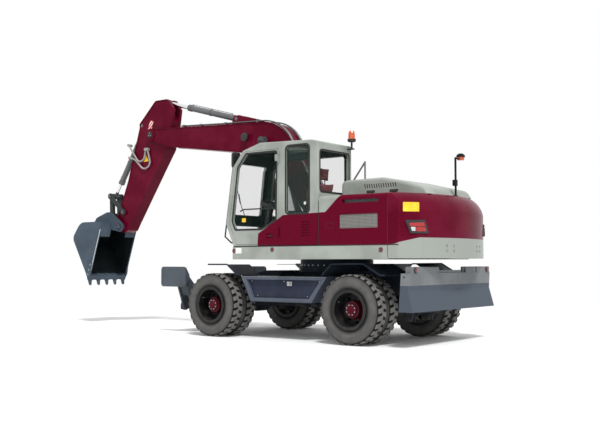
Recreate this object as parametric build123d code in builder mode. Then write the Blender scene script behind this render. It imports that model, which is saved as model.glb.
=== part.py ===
from build123d import *
import math
import os

# Wheeled excavator, in millimetres. X runs forward, Y to the left and Z up from the ground.
# The origin lies on the ground under the middle of the machine. Stations along X are
# measured from the slew axis, and slew_x is where that axis stands.
slew_x = -1880

# Clearances
fit = 0.05  # radial, pin in bore and rod in gland
seat = 0.3  # between a piece and what carries it
free = 6  # between pieces that swing past each other

# Wheels and axles
rear_axle_x = -1080
front_axle_x = 1610
tyre_radius = 509
tyre_width = 250
twin_spacing = 320
half_width = 1275
rim_radius = 262
rim_flange_radius = 294
rim_wall = 14
lug_count = 28  # in each of a tyre's two rows
lug_gap = 46
lug_depth = 26
lug_slant = 14
hub_radius = 120
axle_radius = 82
king_pin_y = 800
king_pin_radius = 32
twin_centre_y = half_width - (tyre_width + twin_spacing) / 2
axle_z = tyre_radius
swing_pin_z = 690

# Chassis
frame_half = 330
frame_tail_x = -1610
frame_top = 1000
frame_belly = 700
deck_top = 1135
ring_radius = 590
ring_top = 1233
beam_x = 2340
beam_length = 360
beam_top = 880
nose_top = 780  # kept under the sweep of the bucket's teeth
ram_lug_top = 835
beam_bottom = 470
beam_half = 700
beam_end = beam_x + beam_length
beam_mid = beam_x + beam_length / 2

# Tie-down holes
tie_radius = 26
tie_plate = 36
tie_rear_x = -1665
tie_rear_z = 935
tie_front_x = 2750
tie_front_y = 400
tie_front_z = 560

# Outriggers
leg_pin_y = 790
leg_pin_z = 430
pad_pin_y = 1000
pad_pin_z = 950
ram_lug_y = 150
ram_lug_z = 790
ram_leg_y = 745
ram_leg_z = 690

# Blade
blade_pin_x = -1500
blade_pin_z = 360
blade_rise = 249
blade_reach = 468
blade_pin_gap = 240
blade_ram_x = -1350
blade_ram_z = 960
blade_ram_y = 130
blade_top = 1040
blade_bottom = 506

# Upper structure
skirt_bottom = 1240
floor_z = 1440
body_half = 1250
body_top = 2176
body_front = 1170
body_joint_x = -1730
tail_radius = 2330
cover_wall = 40
shoulder = 60  # rounding along the top of the bodywork

# Cab
cab_inner_y = 350
cab_rear_x = -530
cab_wall = 50
door_gap = 5
pane_setback = 22
door_rear_x = 226
door_hinge_x = 218
door_hinge_y = 1262
hinge_heights = (1600, 2750)
hinge_length = 100
hinge_pin_radius = 6
glass = 8

# Arm: pivots in the side view, from the slew axis
boom_pin = (150, 1750)
boom_ram_foot = (800, 1440)
boom_ram_eye = (1360, 3270)
stick_pin = (4200, 3620)
stick_ram_foot = (2100, 3735)
stick_ram_eye = (3880, 4220)
bucket_pin = (5030, 1890)
rocker_pin = (4975, 2170)
rocker_eye = (5360, 2500)
link_eye = (5345, 2105)
bucket_ram_foot = (4500, 3830)
boom_half = 185
boom_web_half = 172
plate = 14
stick_half = 125
fork_inner = stick_half + 8
boom_ram_y = 262
ear_inner = 165
ear_plate = 32
bucket_half = 465
tooth_count = 5


def side(y):
    """The plane seen from the left, at a station across the machine: local axes X and Z."""
    return Plane(origin=(slew_x, y, 0), x_dir=(1, 0, 0), z_dir=(0, -1, 0))


def level(z):
    """The plan at a height: local axes X and Y."""
    return Plane(origin=(slew_x, 0, z), x_dir=(1, 0, 0), z_dir=(0, 0, 1))


def cross(x):
    """The section across the machine at a station: local axes Y and Z."""
    return Plane(origin=(slew_x + x, 0, 0), x_dir=(0, 1, 0), z_dir=(1, 0, 0))


def at(x, y, z):
    """A place given from the slew axis."""
    return Vector(slew_x + x, y, z)


def slab(points, y_low, y_high, rounding=0, mode=Mode.ADD):
    """Adds a plate cut to a side outline, between two stations across the machine."""
    with BuildSketch(side(y_high)) as outline:
        with BuildLine():
            Polyline(*points, close=True)
        make_face()
        if rounding:
            fillet(outline.vertices(), rounding)
    extrude(outline.sketch, amount=y_high - y_low, mode=mode)


def shaped(corners, y_low, y_high, wall=0, mode=Mode.ADD):
    """Adds a plate whose side outline has its own radius at each corner, or a band of that wall."""
    with BuildSketch(side(y_high)) as outline:
        with BuildLine():
            FilletPolyline(*[c[:2] for c in corners], radius=[c[2] for c in corners], close=True)
        make_face()
        if wall:
            offset(amount=-wall, kind=Kind.INTERSECTION, mode=Mode.SUBTRACT)
    extrude(outline.sketch, amount=y_high - y_low, mode=mode)


def bent_tube(corners, y, radius):
    """Adds a round tube that follows a bent line in the side view."""
    with BuildLine(side(y)) as line:
        FilletPolyline(*[c[:2] for c in corners], radius=[c[2] for c in corners[1:-1]])
    with BuildSketch(Plane(origin=line.line @ 0, z_dir=line.line % 0)) as ring:
        Circle(radius)
    sweep(ring.sketch, path=line.line)


def deck(points, z_low, z_high, rounding=0, mode=Mode.ADD):
    """Adds a plate cut to a plan outline, between two heights."""
    with BuildSketch(level(z_low)) as outline:
        with BuildLine():
            Polyline(*points, close=True)
        make_face()
        if rounding:
            fillet(outline.vertices(), rounding)
    extrude(outline.sketch, amount=z_high - z_low, mode=mode)


def rib(points, x_low, x_high, rounding=0, mode=Mode.ADD):
    """Adds a plate cut to an outline across the machine, between two stations along it."""
    with BuildSketch(cross(x_low)) as outline:
        with BuildLine():
            Polyline(*points, close=True)
        make_face()
        if rounding:
            fillet(outline.vertices(), rounding)
    extrude(outline.sketch, amount=x_high - x_low, mode=mode)


def block(x_low, x_high, y_low, y_high, z_low, z_high, mode=Mode.ADD):
    """Adds a rectangular block."""
    deck([(x_low, y_low), (x_high, y_low), (x_high, y_high), (x_low, y_high)], z_low, z_high, mode=mode)


def bar(start, end, radius, bore=0, mode=Mode.ADD):
    """Adds a round bar between two places, or a tube where it has a bore."""
    line = end - start
    with BuildSketch(Plane(origin=start, z_dir=line)) as ring:
        Circle(radius)
        if bore:
            Circle(bore, mode=Mode.SUBTRACT)
    extrude(ring.sketch, amount=line.length, mode=mode)


def pin(centre, y_low, y_high, radius, bore=0, mode=Mode.ADD):
    """Adds a pin or a boss that lies across the machine at a pivot of the side view."""
    bar(at(centre[0], y_low, centre[1]), at(centre[0], y_high, centre[1]), radius, bore, mode)


def inset(points, amount):
    """The outline that runs a set distance inside a clockwise or anticlockwise one."""
    turn = sum(a[0] * b[1] - b[0] * a[1] for a, b in zip(points, points[1:] + points[:1]))
    inward = amount if turn > 0 else -amount
    inner = []
    for before, corner, after in zip(points[-1:] + points[:-1], points, points[1:] + points[:1]):
        first = Vector(corner[0] - before[0], corner[1] - before[1]).normalized()
        second = Vector(after[0] - corner[0], after[1] - corner[1]).normalized()
        reach = inward / (1 + first.dot(second))
        inner.append(
            (
                corner[0] - (first.Y + second.Y) * reach,
                corner[1] + (first.X + second.X) * reach,
            )
        )
    return inner


def turned(points, x, y):
    """Adds a turned solid on an upright axis, from its profile of radii and heights."""
    with BuildSketch(Plane(origin=at(x, y, 0), x_dir=(1, 0, 0), z_dir=(0, -1, 0))) as profile:
        with BuildLine():
            Polyline(*points, close=True)
        make_face()
    revolve(profile.sketch, axis=Axis(at(x, y, 0), (0, 0, 1)))


def polar(centre, length, degrees):
    """The point at a distance and an angle from a centre in the side view."""
    angle = math.radians(degrees)
    return (centre[0] + length * math.cos(angle), centre[1] + length * math.sin(angle))


def toward(start, end, distance):
    """The point at a distance from one pivot on the line to another."""
    span = math.dist(start, end)
    return (
        start[0] + (end[0] - start[0]) * distance / span,
        start[1] + (end[1] - start[1]) * distance / span,
    )


def ram_body(foot, eye, y, radius, closed, rod_radius, eye_radius, eye_width, pin_radius, pin_half, bands=()):
    """A cylinder's barrel in the side view: base eye with its pin, tube, bands and gland."""
    tube_start = toward(foot, eye, eye_radius * 0.8)
    gland = toward(foot, eye, closed - eye_radius - 20)
    bore_start = toward(foot, eye, eye_radius + 25)
    bar(at(tube_start[0], y, tube_start[1]), at(gland[0], y, gland[1]), radius)
    neck = toward(foot, eye, closed - eye_radius - 95)
    bar(at(neck[0], y, neck[1]), at(gland[0], y, gland[1]), radius + 8)
    for distance in bands:
        low, high = toward(foot, eye, distance), toward(foot, eye, distance + 30)
        bar(at(low[0], y, low[1]), at(high[0], y, high[1]), radius + 6)
    pin(foot, y - eye_width / 2, y + eye_width / 2, eye_radius)
    pin(foot, y - pin_half, y + pin_half, pin_radius)
    bar(
        at(bore_start[0], y, bore_start[1]),
        at(gland[0], y, gland[1]),
        rod_radius + fit,
        mode=Mode.SUBTRACT,
    )


def ram_rod(foot, eye, y, rod_radius, rod_length, eye_radius, eye_width):
    """A cylinder's rod in the side view, with the eye at its end."""
    inner_end = toward(eye, foot, rod_length)
    bar(at(inner_end[0], y, inner_end[1]), at(eye[0], y, eye[1]), rod_radius)
    pin(eye, y - eye_width / 2, y + eye_width / 2, eye_radius)


parts = []


def keep(piece, label):
    """Names a finished piece and lists it for export."""
    piece.part.label = label
    parts.append(piece.part)


# Chassis frame: a welded box girder over the axles, with the deck under the slew ring
frame_outline = [
    (frame_tail_x, frame_belly),
    (frame_tail_x, frame_top),
    (-1250, frame_top + 60),
    (1200, frame_top + 60),
    (1500, frame_top),
    (beam_x, beam_top),
    (beam_x, beam_bottom + 60),
    (2080, beam_bottom + 90),
    (1900, frame_belly + 30),
    (1330, frame_belly + 30),
    (1140, 560),
    (-640, 540),
    (-820, frame_belly),
]
with BuildPart() as chassis_frame:
    slab(frame_outline, -frame_half, frame_half)
    with BuildSketch(level(frame_top + 40)) as ring_deck:
        Circle(ring_radius + 20)
    extrude(ring_deck.sketch, amount=deck_top - frame_top - 40)
    for edge in (-1, 1):
        # Outrigging webs that carry the side boxes
        for x_low in (-420, 620):
            rib(
                [
                    (edge * (frame_half - 1), 700),
                    (edge * (frame_half - 1), frame_top + 60),
                    (edge * 600, frame_top + 60),
                    (edge * 700, 960),
                    (edge * 700, 600),
                ],
                x_low,
                x_low + 60,
            )
        # Lugs for the blade's arms
        lug_y = edge * 265
        for y_low in (lug_y - 65, lug_y + 35):
            slab(
                [
                    (frame_tail_x, frame_belly + 200),
                    (-1440, frame_belly + 200),
                    (-1380, frame_belly),
                    (-1440, blade_pin_z - 50),
                    (-1560, blade_pin_z - 50),
                    (frame_tail_x, blade_pin_z + 100),
                ],
                y_low,
                y_low + 30,
            )
        for height in (blade_pin_z, blade_pin_z + blade_pin_gap):
            pin((blade_pin_x, height), lug_y - 70, lug_y + 70, 30 + fit, mode=Mode.SUBTRACT)
    # Slots in the tail of the frame for the blade cylinders, and their pin bores
    for edge in (-1, 1):
        slab(
            [
                (-1275, 900),
                (-1275, 1200),
                (-1800, 1200),
                (-1800, 500),
                (-1530, 500),
                (-1470, 690),
                (-1330, 880),
            ],
            edge * blade_ram_y - 56,
            edge * blade_ram_y + 56,
            mode=Mode.SUBTRACT,
        )
        pin(
            (blade_ram_x, blade_ram_z),
            edge * blade_ram_y - 79,
            edge * blade_ram_y + 79,
            25 + fit,
            mode=Mode.SUBTRACT,
        )
    # Tie-down plate at the tail, with its hole
    shaped(
        [
            (frame_tail_x + 1, tie_rear_z - 70, 0),
            (frame_tail_x + 1, tie_rear_z + 60, 0),
            (tie_rear_x - 50, tie_rear_z + 50, 45),
            (tie_rear_x - 50, tie_rear_z - 50, 45),
        ],
        -tie_plate / 2,
        tie_plate / 2,
    )
    pin((tie_rear_x, tie_rear_z), -tie_plate, tie_plate, tie_radius, mode=Mode.SUBTRACT)
    # Trunnion under the front of the frame, on which the front axle rocks
    for low, high in ((front_axle_x - 190, front_axle_x - 130), (front_axle_x + 130, front_axle_x + 190)):
        rib([(-110, frame_belly + 31), (110, frame_belly + 31), (80, 600), (-80, 600)], low, high)
        bar(
            at(low - 1, 0, swing_pin_z),
            at(high + 1, 0, swing_pin_z),
            40 + fit,
            mode=Mode.SUBTRACT,
        )
keep(chassis_frame, "chassis_frame")

# Side boxes between the wheels, with a raised border round a sunk panel
box_outline = [(-586, 976), (1085, 976), (890, 580), (-310, 580)]
panel_outline = [(-480, 925), (975, 925), (850, 640), (-250, 640)]
with BuildPart() as side_boxes:
    for edge in (-1, 1):
        low, high = sorted((edge * 700, edge * 1110))
        slab(box_outline, low + (seat if edge > 0 else 0), high - (seat if edge < 0 else 0))
        low, high = sorted((edge * 1060, edge * 1111))
        slab(panel_outline, low, high, mode=Mode.SUBTRACT)
keep(side_boxes, "side_boxes")

# Mudguards of folded plate, with a tube round the outer rim
guard = 8
guard_rim = 12
front_arch = [(1110, 985), (1330, 1152), (1740, 1152)]
rear_arch = [(-553, 1000), (-720, 1160), (-1270, 1165), (-1560, 1000), (-1640, 1000)]


def over(points, lift):
    """The same run of points, lifted."""
    return [(x, z + lift) for x, z in points]


with BuildPart() as mudguards:
    for edge in (-1, 1):
        outer_y = edge * 1180
        low, high = sorted((edge * (frame_half + seat), outer_y))
        slab(rear_arch + over(rear_arch, guard)[::-1], low, high)
        low, high = sorted((edge * 620, outer_y))
        slab(front_arch + over(front_arch, guard)[::-1], low, high)
        slab([(1060, 985), (1115, 985), (1115, 993), (1060, 993)], low, high)
        for arch in (front_arch, rear_arch):
            for start, end in zip(arch, arch[1:]):
                bar(at(start[0], outer_y, start[1] + guard), at(end[0], outer_y, end[1] + guard), guard_rim)
        # Step that hangs the front guard on its side box
        low, high = sorted((edge * 705, edge * 1100))
        slab([(1060, 976 + seat), (1060, 986), (1082, 986), (1082, 976 + seat)], low, high)
keep(mudguards, "mudguards")

# Rear axle: housing, drive head and the pads that bolt it under the frame
with BuildPart() as rear_axle:
    bar(at(rear_axle_x, -720, axle_z), at(rear_axle_x, 720, axle_z), axle_radius)
    with BuildSketch(Plane(origin=at(rear_axle_x, 0, axle_z), x_dir=(0, 1, 0), z_dir=(1, 0, 0))):
        with BuildLine():
            Polyline((-190, 0), (-190, 100), (-120, 165), (120, 165), (190, 100), (190, 0), close=True)
        make_face()
    revolve(axis=Axis(at(rear_axle_x, 0, axle_z), (0, 1, 0)))
    for edge in (-1, 1):
        bar(at(rear_axle_x, edge * 640, axle_z), at(rear_axle_x, edge * 905, axle_z), 150)
        bar(at(rear_axle_x, edge * 900, axle_z), at(rear_axle_x, edge * 960, axle_z), 70)
        block(
            rear_axle_x - 90,
            rear_axle_x + 90,
            edge * 270 - 50,
            edge * 270 + 50,
            axle_z,
            frame_belly - seat,
        )
keep(rear_axle, "rear_axle")

# Gearbox under the frame, with the shafts to both axles
with BuildPart() as drivetrain:
    block(-420, -40, -170, 170, 400, 540 - seat)
    bar(at(-400, 0, 480), at(rear_axle_x + 166, 0, axle_z), 40)
    bar(at(-60, 0, 480), at(1380, 0, axle_z), 40)
keep(drivetrain, "drivetrain")

# Outrigger beam: a box across the nose, with lugs for the legs and their cylinders
with BuildPart() as outrigger_beam:
    for low, high, top in ((beam_x + seat, beam_x + 60, beam_top), (beam_end - 60, beam_end, nose_top)):
        rib(
            [
                (-beam_half, top),
                (-beam_half - 60, top - 60),
                (-leg_pin_y - 50, leg_pin_z + 30),
                (-leg_pin_y - 50, leg_pin_z - 40),
                (-leg_pin_y + 30, leg_pin_z - 60),
                (-600, beam_bottom - 30),
                (600, beam_bottom - 30),
                (leg_pin_y - 30, leg_pin_z - 60),
                (leg_pin_y + 50, leg_pin_z - 40),
                (leg_pin_y + 50, leg_pin_z + 30),
                (beam_half + 60, top - 60),
                (beam_half, top),
            ],
            low,
            high,
        )
        for edge in (-1, 1):
            bar(
                at(low - 1, edge * leg_pin_y, leg_pin_z),
                at(high + 1, edge * leg_pin_y, leg_pin_z),
                30 + fit,
                mode=Mode.SUBTRACT,
            )
    slab(
        [
            (beam_x + 59, beam_bottom),
            (beam_x + 59, beam_top - 10),
            (beam_mid + 85, ram_lug_top - 5),
            (beam_end - 59, nose_top),
            (beam_end - 59, beam_bottom),
        ],
        -80,
        80,
    )
    block(beam_x + 59, beam_end - 59, -620, 620, beam_bottom - 30, beam_bottom)
    for edge in (-1, 1):
        for low, high in ((beam_mid - 85, beam_mid - 55), (beam_mid + 55, beam_mid + 85)):
            rib(
                [
                    (edge * 79, ram_lug_z - 80),
                    (edge * 79, ram_lug_top),
                    (edge * 170, ram_lug_top),
                    (edge * 215, ram_lug_z),
                    (edge * 170, ram_lug_z - 80),
                ],
                low,
                high,
            )
            bar(
                at(low - 1, edge * ram_lug_y, ram_lug_z),
                at(high + 1, edge * ram_lug_y, ram_lug_z),
                22 + fit,
                mode=Mode.SUBTRACT,
            )
    # Tie-down lugs on the nose, each with its hole
    for edge in (-1, 1):
        low = edge * tie_front_y - tie_plate / 2
        slab(
            [
                (beam_end - 1, tie_front_z + 70),
                (beam_end + 40, tie_front_z + 60),
                (tie_front_x + 52, tie_front_z + 20),
                (tie_front_x + 52, tie_front_z - 40),
                (beam_end + 20, tie_front_z - 75),
                (beam_end - 1, tie_front_z - 75),
            ],
            low,
            low + tie_plate,
        )
        pin((tie_front_x, tie_front_z), low - 1, low + tie_plate + 1, tie_radius, mode=Mode.SUBTRACT)
keep(outrigger_beam, "outrigger_beam")

# Fixed race of the slew ring
with BuildPart() as slew_ring:
    with BuildSketch(level(deck_top)) as race:
        Circle(ring_radius)
        Circle(ring_radius - 110, mode=Mode.SUBTRACT)
    extrude(race.sketch, amount=ring_top - deck_top)
keep(slew_ring, "slew_ring")

# Front axle: rocks on the trunnion, with a fork for each king pin
with BuildPart() as front_axle:
    bar(at(front_axle_x, -640, axle_z), at(front_axle_x, 640, axle_z), axle_radius)
    with BuildSketch(Plane(origin=at(front_axle_x, 0, axle_z), x_dir=(0, 1, 0), z_dir=(1, 0, 0))):
        with BuildLine():
            Polyline((-180, 0), (-180, 90), (-110, 150), (110, 150), (180, 90), (180, 0), close=True)
        make_face()
    revolve(axis=Axis(at(front_axle_x, 0, axle_z), (0, 1, 0)))
    block(front_axle_x - 130 + seat, front_axle_x + 130 - seat, -75, 75, axle_z, swing_pin_z + 20)
    bar(
        at(front_axle_x - 195, 0, swing_pin_z),
        at(front_axle_x + 195, 0, swing_pin_z),
        40,
    )
    for edge in (-1, 1):
        block(
            front_axle_x - 70,
            front_axle_x + 70,
            min(edge * 600, edge * 690),
            max(edge * 600, edge * 690),
            axle_z - 140,
            axle_z + 140,
        )
        for z_low in (axle_z - 140, axle_z + 100):
            block(
                front_axle_x - 60,
                front_axle_x + 60,
                min(edge * 689, edge * (king_pin_y + 55)),
                max(edge * 689, edge * (king_pin_y + 55)),
                z_low,
                z_low + 40,
            )
            bar(
                at(front_axle_x, edge * king_pin_y, z_low - 1),
                at(front_axle_x, edge * king_pin_y, z_low + 41),
                king_pin_radius + fit,
                mode=Mode.SUBTRACT,
            )
    # Steering cylinder behind the housing
    bar(at(front_axle_x - 150, -260, axle_z + 20), at(front_axle_x - 150, 260, axle_z + 20), 45)
    for y in (-150, 150):
        block(front_axle_x - 150, front_axle_x, y - 20, y + 20, axle_z, axle_z + 40)
keep(front_axle, "front_axle")

# Steering knuckles, with the king pin stubs and the stub axle
for edge, label in ((1, "knuckle_left"), (-1, "knuckle_right")):
    with BuildPart() as knuckle:
        y_pin = edge * king_pin_y
        bar(at(front_axle_x, y_pin, axle_z - 100 + seat), at(front_axle_x, y_pin, axle_z + 100 - seat), 55)
        bar(at(front_axle_x, y_pin, axle_z - 150), at(front_axle_x, y_pin, axle_z + 150), king_pin_radius)
        bar(at(front_axle_x, y_pin, axle_z), at(front_axle_x, edge * 905, axle_z), 95)
        bar(at(front_axle_x, edge * 900, axle_z), at(front_axle_x, edge * 960, axle_z), 70)
    keep(knuckle, label)

# Wheels: twin tyres on one rim set, with the hub and its bolt ring
wheels = [
    ("front_left", front_axle_x, 1),
    ("front_right", front_axle_x, -1),
    ("rear_left", rear_axle_x, 1),
    ("rear_right", rear_axle_x, -1),
]
bead = tyre_width / 2 - 22
tyre_profile = [
    (-bead, rim_radius + seat),
    (-bead, rim_flange_radius + 4),
    (-tyre_width / 2, 390),
    (12 - tyre_width / 2, 470),
    (-88, tyre_radius),
    (88, tyre_radius),
    (tyre_width / 2 - 12, 470),
    (tyre_width / 2, 390),
    (bead, rim_flange_radius + 4),
    (bead, rim_radius + seat),
]
# One tyre about the origin: two rows of slanted lugs, half a pitch apart
with BuildPart() as tyre:
    with BuildSketch(Plane.YZ):
        with BuildLine():
            Polyline(*tyre_profile, close=True)
        make_face()
    revolve(axis=Axis.Y)
    for face, stagger in ((-1, 0), (1, 0.5)):
        gaps = []
        for index in range(lug_count):
            angle = 2 * math.pi * (index + stagger) / lug_count
            outward = Vector(math.cos(angle), 0, math.sin(angle))
            gaps.append(Plane(origin=outward * (tyre_radius + 2), x_dir=(0, 1, 0), z_dir=outward))
        with BuildSketch(*gaps):
            with Locations((face * 74, 0)):
                Rectangle(132, lug_gap, rotation=face * lug_slant)
        extrude(amount=-lug_depth - 2, mode=Mode.SUBTRACT)

for place, axle_x, edge in wheels:
    centre_y = edge * twin_centre_y
    with BuildPart() as tyres:
        for shift in (-twin_spacing / 2, twin_spacing / 2):
            add(tyre.part.moved(Location(at(axle_x, centre_y + shift, axle_z))))
    keep(tyres, "tyres_" + place)
    with BuildPart() as wheel:
        half_rim = twin_spacing / 2 + bead + 16
        bar(at(axle_x, centre_y - half_rim, axle_z), at(axle_x, centre_y + half_rim, axle_z), rim_radius)
        for shift in (-twin_spacing / 2, twin_spacing / 2):
            for face in (-1, 1):
                low = centre_y + shift + face * (bead + 8)
                bar(at(axle_x, low - 7.5, axle_z), at(axle_x, low + 7.5, axle_z), rim_flange_radius)
        bar(
            at(axle_x, centre_y - half_rim - 1, axle_z),
            at(axle_x, centre_y + half_rim + 1, axle_z),
            rim_radius - rim_wall,
            mode=Mode.SUBTRACT,
        )
        disc_y = centre_y + edge * 40
        bar(
            at(axle_x, disc_y - 9, axle_z),
            at(axle_x, disc_y + 9, axle_z),
            rim_radius - rim_wall + 1,
        )
        disc_face = Plane(origin=at(axle_x, disc_y + 20, axle_z), x_dir=(1, 0, 0), z_dir=(0, -1, 0))
        with BuildSketch(disc_face) as hand_holes:
            with PolarLocations(192, 8):
                Circle(32)
        extrude(hand_holes.sketch, amount=40, mode=Mode.SUBTRACT)
        hub_inner = edge * (905 + seat)
        hub_outer = disc_y + edge * 150
        bar(at(axle_x, hub_inner, axle_z), at(axle_x, hub_outer, axle_z), hub_radius)
        bar(at(axle_x, hub_outer, axle_z), at(axle_x, hub_outer + edge * 30, axle_z), 85)
        bar(
            at(axle_x, hub_inner, axle_z),
            at(axle_x, edge * 960.5, axle_z),
            70 + fit,
            mode=Mode.SUBTRACT,
        )
    keep(wheel, "wheel_" + place)

# Turntable: a skirted deck with the arm's brackets
with BuildPart() as turntable_frame:
    deck(
        [
            (body_joint_x + seat, -body_half),
            (body_front, -body_half),
            (body_front, body_half),
            (body_joint_x + seat, body_half),
        ],
        skirt_bottom,
        floor_z,
    )
    front_corners = turntable_frame.edges().filter_by(Axis.Z).group_by(Axis.X)[-1]
    fillet(front_corners, 45)
    with BuildSketch(level(ring_top + seat)) as moving_race:
        Circle(ring_radius - 20)
        Circle(ring_radius - 110, mode=Mode.SUBTRACT)
    extrude(moving_race.sketch, amount=skirt_bottom - ring_top + 1)
    # Boom brackets and cylinder lugs on the deck
    for edge in (-1, 1):
        low, high = sorted((edge * (boom_half + free), edge * (boom_half + free + 40)))
        with BuildSketch(side(high)) as bracket:
            with BuildLine():
                Polyline((-330, floor_z - 1), (-40, 1830), (330, 1830), (480, floor_z - 1), close=True)
            make_face()
            fillet(bracket.vertices().group_by(Axis.Y)[-1], 100)
        extrude(bracket.sketch, amount=high - low)
        pin(boom_pin, low - 1, high + 1, 42 + fit, mode=Mode.SUBTRACT)
        for y in (boom_ram_y - 82, boom_ram_y + 68):
            low, high = sorted((edge * y, edge * (y + 14)))
            slab(
                [
                    (boom_ram_foot[0] - 130, floor_z - 1),
                    (boom_ram_foot[0] - 60, boom_ram_foot[1] + 60),
                    (boom_ram_foot[0] + 50, boom_ram_foot[1] + 60),
                    (boom_ram_foot[0] + 110, floor_z - 1),
                ],
                low,
                high,
            )
    # Wells in the deck for the cylinder feet
    for edge in (-1, 1):
        slab(
            [
                (boom_ram_foot[0] - 90, floor_z + 1),
                (boom_ram_foot[0] - 90, floor_z - 90),
                (boom_ram_foot[0] + 120, floor_z - 90),
                (boom_ram_foot[0] + 165, floor_z + 1),
            ],
            edge * boom_ram_y - 68,
            edge * boom_ram_y + 68,
            mode=Mode.SUBTRACT,
        )
        pin(boom_ram_foot, edge * boom_ram_y - 83, edge * boom_ram_y + 83, 32 + fit, mode=Mode.SUBTRACT)
keep(turntable_frame, "turntable_frame")

# Counterweight: one casting with the tail's sweep and a rounded top
corner_x = -math.sqrt(tail_radius**2 - 1000**2)
corner_cut = 200
with BuildPart() as counterweight:
    with BuildSketch(level(skirt_bottom + 10)) as sweep_outline:
        with BuildLine():
            ThreePointArc((corner_x, 1000), (-tail_radius, 0), (corner_x, -1000))
            Polyline((corner_x, -1000), (corner_x + corner_cut, -body_half), (body_joint_x, -body_half))
            Line((body_joint_x, -body_half), (body_joint_x, body_half))
            Polyline((body_joint_x, body_half), (corner_x + corner_cut, body_half), (corner_x, 1000))
        make_face()
        fillet(sweep_outline.vertices().filter_by(lambda v: v.X < body_joint_x - 50), 90)
    extrude(sweep_outline.sketch, amount=body_top - skirt_bottom - 10)
    # Rounded shoulder that runs round the tail about the slew axis
    with BuildSketch(side(0)) as tail_cut:
        with BuildLine():
            ThreePointArc((-2145, body_top + 1), (-2272, 2060), (-tail_radius - 2, 1800))
            Polyline((-tail_radius - 2, 1800), (-2500, 1800), (-2500, body_top + 1), (-2145, body_top + 1))
        make_face()
    revolve(tail_cut.sketch, axis=Axis((slew_x, 0, 0), (0, 0, 1)), mode=Mode.SUBTRACT)
    with BuildSketch(cross(-tail_radius)) as shoulder_cut:
        for edge in (-1, 1):
            inner, outer = edge * (body_half - shoulder), edge * body_half
            bend = shoulder * (1 - math.sqrt(0.5))
            with BuildLine():
                ThreePointArc(
                    (inner, body_top),
                    (outer - edge * bend, body_top - bend),
                    (outer, body_top - shoulder),
                )
                Polyline(
                    (outer, body_top - shoulder),
                    (outer + edge * 5, body_top - shoulder),
                    (outer + edge * 5, body_top + 5),
                    (inner, body_top + 5),
                    (inner, body_top),
                )
            make_face()
    extrude(shoulder_cut.sketch, amount=tail_radius + body_joint_x, mode=Mode.SUBTRACT)
keep(counterweight, "counterweight")

# Side covers: the engine bay's walls, with the grille and the slot
grille_outline = [(-1569, 1685), (-914, 1685), (-914, 1885), (-1569, 1885)]
grille_slats = 6
with BuildPart() as side_covers:
    for edge in (-1, 1):
        low, high = sorted((edge * 700, edge * body_half))
        block(body_joint_x + seat, cab_rear_x - 12, low, high, floor_z + seat, body_top)
        low, high = sorted((edge * 690, edge * (body_half - cover_wall)))
        block(
            body_joint_x + cover_wall,
            cab_rear_x - 12 - cover_wall,
            low,
            high,
            floor_z,
            body_top - cover_wall,
            mode=Mode.SUBTRACT,
        )
    top_edges = side_covers.edges().filter_by(Axis.X).group_by(Axis.Z)[-1]
    fillet(top_edges.group_by(Axis.Y)[0] + top_edges.group_by(Axis.Y)[-1], shoulder)
    for edge in (-1, 1):
        low, high = sorted((edge * (body_half - shoulder), edge * (body_half + 5)))
        slab(grille_outline, low, high, mode=Mode.SUBTRACT)
        slab([(-1570, 2050), (-980, 2050), (-960, 2100), (-1587, 2100)], low, high, mode=Mode.SUBTRACT)
        # Slats and uprights of the grille, set back in the opening
        low, high = sorted((edge * (body_half - 34), edge * (body_half - 12)))
        for index in range(grille_slats):
            z = 1685 + 200 * (index + 0.5) / grille_slats
            block(-1570, -913, low, high, z - 7, z + 7)
        for x in (-1406, -1241, -1077):
            block(x - 8, x + 8, low, high, 1684, 1886)
keep(side_covers, "side_covers")

# Hood over the engine, with vent slits along its upper sides
hood_half = 690
with BuildPart() as hood:
    shaped(
        [
            (-560, floor_z + 650, 0),
            (-560, 2440, 90),
            (-1300, 2455, 400),
            (-2000, 2290, 160),
            (-2075, body_top + seat, 0),
            (body_joint_x, body_top + seat, 0),
            (body_joint_x, floor_z + 650, 0),
        ],
        -hood_half,
        hood_half,
    )
    crown = hood.edges().filter_by(lambda e: abs(e.center().Y) > hood_half - 1)
    fillet(crown.filter_by(lambda e: e.center().Z > body_top + 20), 45)
    slab(
        [
            (-600, 2000),
            (-600, 2290),
            (-660, 2400),
            (-1300, 2410),
            (body_joint_x - 100, 2310),
            (body_joint_x - 100, 2000),
        ],
        -650,
        650,
        mode=Mode.SUBTRACT,
    )
    for edge in (-1, 1):
        low, high = sorted((edge * (hood_half - 9), edge * (hood_half + 1)))
        for index in range(14):
            x = -1010 - 41 * index
            slab([(x, 2300), (x + 20, 2300), (x + 34, 2362), (x + 14, 2362)], low, high, mode=Mode.SUBTRACT)
keep(hood, "hood")

# Engine, cooler and pump as one block
with BuildPart() as engine_block:
    block(-1600, -800, -420, 420, floor_z + seat, 2080)
keep(engine_block, "engine_block")

# Right-hand tank and tool box
with BuildPart() as tank_box:
    block(-500, 420, -body_half, -400, floor_z + seat, 2150)
    block(420 - 1, 1100, -body_half, -400, floor_z + seat, 1850)
    fillet(tank_box.edges().filter_by(Axis.X).group_by(Axis.Z)[-1], 50)
keep(tank_box, "tank_box")

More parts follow.
